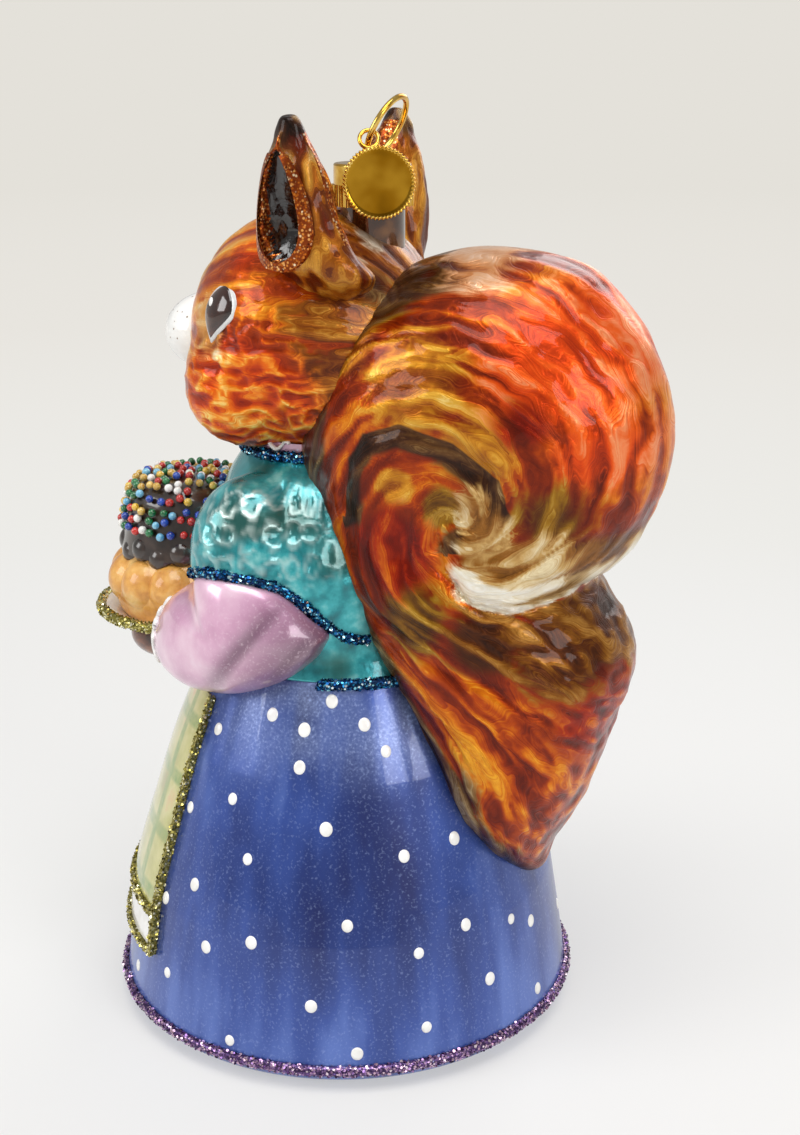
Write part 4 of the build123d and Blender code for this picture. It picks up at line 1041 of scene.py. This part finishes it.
def line_of_glue(name, path, radius, finish, slot, *replaced):
    """Round bead of glue along a path, uneven as if squeezed by hand."""
    piece, turn, rise = ball(name, 12, 420)
    along = np.clip(rise * 1.04 - 0.02, 0, 1)
    middle = smooth_table(path, along)
    heading = smooth_table(path, np.clip(along + 0.01, 0, 1)) - smooth_table(path, np.clip(along - 0.01, 0, 1))
    heading = unit(heading)
    sideways = unit(np.cross(heading, (0, 0.3, 1)))
    upwards = np.cross(sideways, heading)
    thick = radius * (1 + 0.22 * grain(middle, 1.3)) * np.sqrt(np.clip(1 - (2 * rise - 1) ** 20, 0, 1))
    offset = sideways * np.sin(turn)[:, None] + upwards * np.cos(turn)[:, None]
    set_points(piece, middle + offset * thick[:, None])
    face_outwards()
    settle(piece, finish, slot, "figure", *replaced)


def laid_on(path, carriers, proud):
    """Path with each point moved out sideways until it lies on the outermost of some pieces."""
    shapes = [surface_of(carrier) for carrier in carriers]
    dense = smooth_table(path, np.linspace(0, 1, 90))
    hand_side = np.sign(dense[:, 0].mean())
    for point in dense:
        start = Vector((hand_side * RAY_START, point[1], point[2])) * MM
        hits = [shape.ray_cast(start, Vector((-hand_side, 0, 0)))[0] for shape in shapes]
        reached = [abs(hit.x) / MM for hit in hits if hit]
        if reached:
            point[0] = hand_side * (max(reached) + proud)
    smooth = np.pad(dense, ((3, 3), (0, 0)), mode="edge")
    return np.stack([np.convolve(smooth[:, axis], np.ones(7) / 7, mode="valid") for axis in range(3)], axis=1)


def ring_round(carrier, middle, heading, waves, swing):
    """Closed wavy path round a piece, in a plane across the heading."""
    shape = surface_of(carrier)
    heading = unit(np.array(heading))
    sideways = unit(np.cross(heading, (0, 0, 1)))
    upwards = np.cross(sideways, heading)
    path = []
    for angle in np.linspace(0, 2 * pi, waves * 6 + 1):
        way = cos(angle) * sideways + sin(angle) * upwards
        origin = np.array(middle) + heading * swing * cos(waves * angle)
        hit = shape.ray_cast(Vector((origin + 30 * way) * MM), Vector(-way))[0]
        if hit:
            path.append(np.array(hit) / MM + 0.15 * way)
    return np.array(path)


for side, hand in ((1, "left"), (-1, "right")):
    sleeve, *_ = ball(f"sleeve_{hand}_puffed", 160, 110)
    flat = points_of(sleeve)
    across = np.hypot(flat[:, 1], flat[:, 2])
    bearing = np.arctan2(flat[:, 2], flat[:, 1])

    # The edge lies on the bodice, and is read by its bearing round the sleeve's middle and softened
    edge = laid_on(np.array(SLEEVE_EDGE) * (side, 1, 1), [bodice], 0.15)
    edge[:, 0] *= side
    edge_bearing = np.arctan2(edge[:, 2] - SLEEVE_MIDDLE[1], edge[:, 1] - SLEEVE_MIDDLE[0])
    order = np.argsort(edge_bearing)
    edge, edge_bearing = edge[order], edge_bearing[order]
    bearings = np.concatenate([edge_bearing - 2 * pi, edge_bearing, edge_bearing + 2 * pi])
    edges = np.concatenate([edge, edge, edge])
    nudges = (-0.06, -0.03, 0, 0.03, 0.06)
    soft = [sum(np.interp(bearing + nudge, bearings, edges[:, axis]) / 5 for nudge in nudges) for axis in range(3)]
    y = SLEEVE_MIDDLE[0] + (soft[1] - SLEEVE_MIDDLE[0]) * across
    z = SLEEVE_MIDDLE[1] + (soft[2] - SLEEVE_MIDDLE[1]) * across

    # Full in the middle, with one soft slanting fold and a smaller one in front of it
    full = SLEEVE_REACH - 0.25 * np.clip(-y - 8, 0, 30)
    outer = soft[0] + (full - soft[0]) * np.maximum(flat[:, 0] * side, 0) ** 0.9
    x = np.where(flat[:, 0] * side > 0, outer, soft[0] - 7 * np.abs(flat[:, 0]))
    fold = (z - 72) * 0.62 - (y + 6) * 0.78
    wave = 0.55 * hill(fold + 4.5, 2.2) - 0.75 * hill(fold + 0.5, 1.7)
    wave += 0.4 * hill(fold + 10, 2.2) - 0.45 * hill(fold + 7.4, 1.4)
    wave *= np.sqrt(np.clip(1 - across**2, 0, 1)) * blend_in(-24, -12, y)
    points = np.stack([side * x, y, z], axis=1)
    set_points(sleeve, points + np.outer(wave + 0.15 * grain(points, 5), (side, 0, 0)))
    # Painted shade: darker towards the back and bottom of the sleeve and in the fold's hollow
    dark = blend_in(-12, 9, y + 0.5 * (73 - z)) * 0.85 + 0.8 * np.clip(-wave, 0, 1)
    keep(sleeve, shade=np.clip(dark, 0, 0.9))
    settle(sleeve, sleeve_pink, "pink_pearl_glass", "figure", f"sleeve_{hand}")

    # White lace at the wrist, and a line of blue glitter where the sleeve meets the bodice
    lace = ring_round(sleeve, (side * 14.5, -25.8, 69.5), (-side * 0.42, -0.86, -0.1), 12, 0.5)
    line_of_glue(f"cuff_lace_{hand}", lace, 0.5, white_enamel, "white_enamel", f"cuff_{hand}")
    armhole = laid_on(np.array(ARMHOLE_LINE) * (side, 1, 1), [bodice, sleeve], -0.1)
    blue = glitter_finishes["blue_glitter"]
    line_of_glue(f"armhole_line_{hand}", armhole, 0.85, blue, "blue_glitter", f"armhole_trim_{hand}")

# Lace at the neck: a looping line of white enamel round the front of the collar
LOOPS = 20
angle = np.linspace(-1.62, 1.62, 161)
reach = 12.75 + 0.25 * np.sin(angle * LOOPS)
height = 103.4 + 0.75 * np.cos(angle * LOOPS)
lace_path = np.stack([reach * np.sin(angle), HEAD_MIDDLE[1] - reach * np.cos(angle), height], axis=1)
line_of_glue("neck_lace_loops", lace_path, 0.38, white_enamel, "white_enamel", "neck_lace")

# Tag: polished disc with a beaded rim
low, high = (np.array(corner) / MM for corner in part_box("tag_disc"))
tag_middle = (low + high) / 2
tag_radius = (high[2] - low[2]) / 2
TAG_TURN, RIM_BEADS = radians(65), 56
tag_way = np.array([sin(TAG_TURN), cos(TAG_TURN), 0])
tag_side = np.array([-tag_way[1], tag_way[0], 0])
tag, *_ = ball("tag_beaded", 480, 60)
flat = points_of(tag)
out = np.hypot(flat[:, 0], flat[:, 1])
bearing = np.arctan2(flat[:, 1], flat[:, 0])
disc = np.clip(out * 1.02, 0, 1)
bead = 0.5 + 0.5 * np.cos(RIM_BEADS * bearing)
rim = blend_in(0.86, 0.92, disc)
rounded = np.sqrt(np.clip(1 - ((disc - 0.94) / 0.065) ** 2, 0, 1))
thick = 0.32 + 0.2 * rim * (0.55 + 0.45 * bead) * rounded - 0.3 * blend_in(0.985, 1.0, disc)
spread = disc * (tag_radius - 0.22 + 0.22 * bead * rim)
points = tag_middle + np.outer(spread * np.cos(bearing), tag_side)
points = points + np.outer(spread * np.sin(bearing), (0, 0, 1)) + np.outer(np.sign(flat[:, 2]) * thick, tag_way)
set_points(tag, points)
face_outwards()
settle(tag, tag_gold, "gold_plated_tag", "tag", "tag_disc")
tag.data.materials.append(gold_plate)
for face in tag.data.polygons:
    if rim[list(face.vertices)].min() > 0.4:
        face.material_index = 1

# Beads: scattered as if by hand, each pushed along the icing and kept clear of its neighbours
bead_middles = {colour: loose_middles(nodes[f"sprinkles_{colour}"].data) for colour in BEAD_COLOURS}
bead_of = [colour for colour, middles in bead_middles.items() for _ in middles]
spots = np.array([middle for middles in bead_middles.values() for middle in middles])
ICING_MIDDLE = np.array([0, -30.5, 84.0])
BEAD, BEAD_SPACING, LONGEST_SHIFT = 0.75, 1.62, 0.9
out = unit((spots - ICING_MIDDLE) * (1, 1, 0.8))
moved = spots + dice.normal(0, 0.4, spots.shape)
for _ in range(30):
    away = moved[:, None] - moved[None]
    gap = np.linalg.norm(away, axis=2) + np.eye(len(moved)) * 9
    push = np.clip(BEAD_SPACING - gap, 0, 1)[:, :, None] * away / gap[:, :, None]
    moved = moved + 0.4 * push.sum(axis=1)
    moved = moved - ((moved - spots) * out).sum(axis=1)[:, None] * out
    shift = moved - spots
    far = np.linalg.norm(shift, axis=1)[:, None]
    moved = spots + shift * np.minimum(1, LONGEST_SHIFT / (far + 1e-6))
bpy.ops.object.select_all(action="DESELECT")
bpy.ops.mesh.primitive_ico_sphere_add(subdivisions=2, radius=BEAD)
bead = bpy.context.object
bead_points = points_of(bead)
bead_faces = np.array([face.vertices for face in bead.data.polygons])
for colour in BEAD_COLOURS:
    chosen = [number for number, own in enumerate(bead_of) if own == colour]
    size = dice.uniform(0.94, 1.05, (len(chosen), 1, 1))
    places = (moved[chosen, None] + bead_points[None] * size).reshape(-1, 3)
    faces = (np.arange(len(chosen))[:, None, None] * len(bead_points) + bead_faces[None]).reshape(-1, 3)
    cluster = bead.copy()
    cluster.data = bead.data.copy()
    cluster.name = f"beads_{colour}"
    bpy.context.collection.objects.link(cluster)
    cluster.data.clear_geometry()
    cluster.data.from_pydata((places * MM).tolist(), [], faces.tolist())
    settle(cluster, bead_finishes[colour], f"{colour}_bead_glass", "figure", f"sprinkles_{colour}")
bpy.data.objects.remove(bead)

# Loose flakes standing on the glitter lines: the mix of each line, and how many flakes on a square millimetre
flake_sources = {
    "hem_trim": ("purple_glitter", 4.5), "waist_trim": ("blue_glitter", 6.0), "neckline_trim": ("blue_glitter", 6.0),
    "armhole_line_left": ("blue_glitter", 6.0), "armhole_line_right": ("blue_glitter", 6.0),
    "apron_trim": ("gold_green_glitter", 5.0), "plate_trim": ("gold_green_glitter", 5.0),
}
for source, (mix, per_mm2) in flake_sources.items():
    carrier = nodes.get(source) or bpy.data.objects[source]
    mesh = carrier.data
    mesh.calc_loop_triangles()
    corners = np.zeros(len(mesh.loop_triangles) * 3, int)
    mesh.loop_triangles.foreach_get("vertices", corners)
    triangles = (points_of(carrier) / MM)[corners.reshape(-1, 3)]
    if source not in nodes:
        # A ball's faces come in another order each run, so they are sorted by their place before the draw
        triangles = triangles[np.lexsort(triangles.mean(axis=1).T)]
    facing = np.cross(triangles[:, 1] - triangles[:, 0], triangles[:, 2] - triangles[:, 0])
    area = np.linalg.norm(facing, axis=1) / 2
    count = int(area.sum() * per_mm2)
    chosen = dice.choice(len(area), count, p=area / area.sum())
    first, second = dice.uniform(0, 1, (2, count))
    over = first + second > 1
    first, second = np.where(over, 1 - first, first), np.where(over, 1 - second, second)
    spots = triangles[chosen, 0] + first[:, None] * (triangles[chosen, 1] - triangles[chosen, 0])
    spots = spots + second[:, None] * (triangles[chosen, 2] - triangles[chosen, 0])
    facing = facing[chosen] / (2 * area[chosen, None])
    tilt = unit(facing + 0.55 * dice.normal(0, 1, (count, 3)))
    sideways = unit(np.cross(tilt, dice.normal(0, 1, (count, 3))))
    upwards = np.cross(tilt, sideways)
    size = dice.uniform(0.16, 0.3, count)
    spots = spots + facing * 0.1
    angles = (np.arange(6) * pi / 3)[None, :, None]
    rings = np.cos(angles) * sideways[:, None] + np.sin(angles) * upwards[:, None]
    rings = spots[:, None] + size[:, None, None] * rings
    bpy.ops.object.select_all(action="DESELECT")
    bpy.ops.mesh.primitive_circle_add(vertices=6, fill_type="NGON")
    flakes = bpy.context.object
    flakes.name = f"{source}_flakes"
    flakes.data.clear_geometry()
    flakes.data.from_pydata((rings.reshape(-1, 3) * MM).tolist(), [], np.arange(count * 6).reshape(-1, 6).tolist())
    keep(flakes, shade=np.repeat(dice.uniform(0, 0.85, count), 6))
    settle(flakes, flake_finishes[mix], mix, "figure")
    flakes.data.polygons.foreach_set("use_smooth", [False] * count)

# Nodes that show as they are: each gets its finish
for finish, names in (
    (apron_plaid, ("apron_panel",)),
    (sleeve_pink, ("collar",)),
    (white_enamel, ("apron_flounce", "cake_plate")),
    (brown_enamel, ("paw_left", "paw_right")),
    (muzzle_white, ("muzzle",)),
    (sponge_beige, ("cake_sponge",)),
    (chocolate_enamel, ("cake_icing",)),
    (neck_glass, ("glass_neck",)),
    (gold_plate, ("cap", "cap_clip", "hanging_ring", "tag_eyelet")),
    (glitter_finishes["gold_green_glitter"], ("apron_trim", "plate_trim")),
    (glitter_finishes["purple_glitter"], ("hem_trim",)),
    (glitter_finishes["blue_glitter"], ("waist_trim", "neckline_trim")),
    (glitter_finishes["copper_glitter"], ("ear_trim_left", "ear_trim_right")),
):
    for node in names:
        slots = nodes[node].data.materials
        for number in range(len(slots)):
            slots[number] = finish
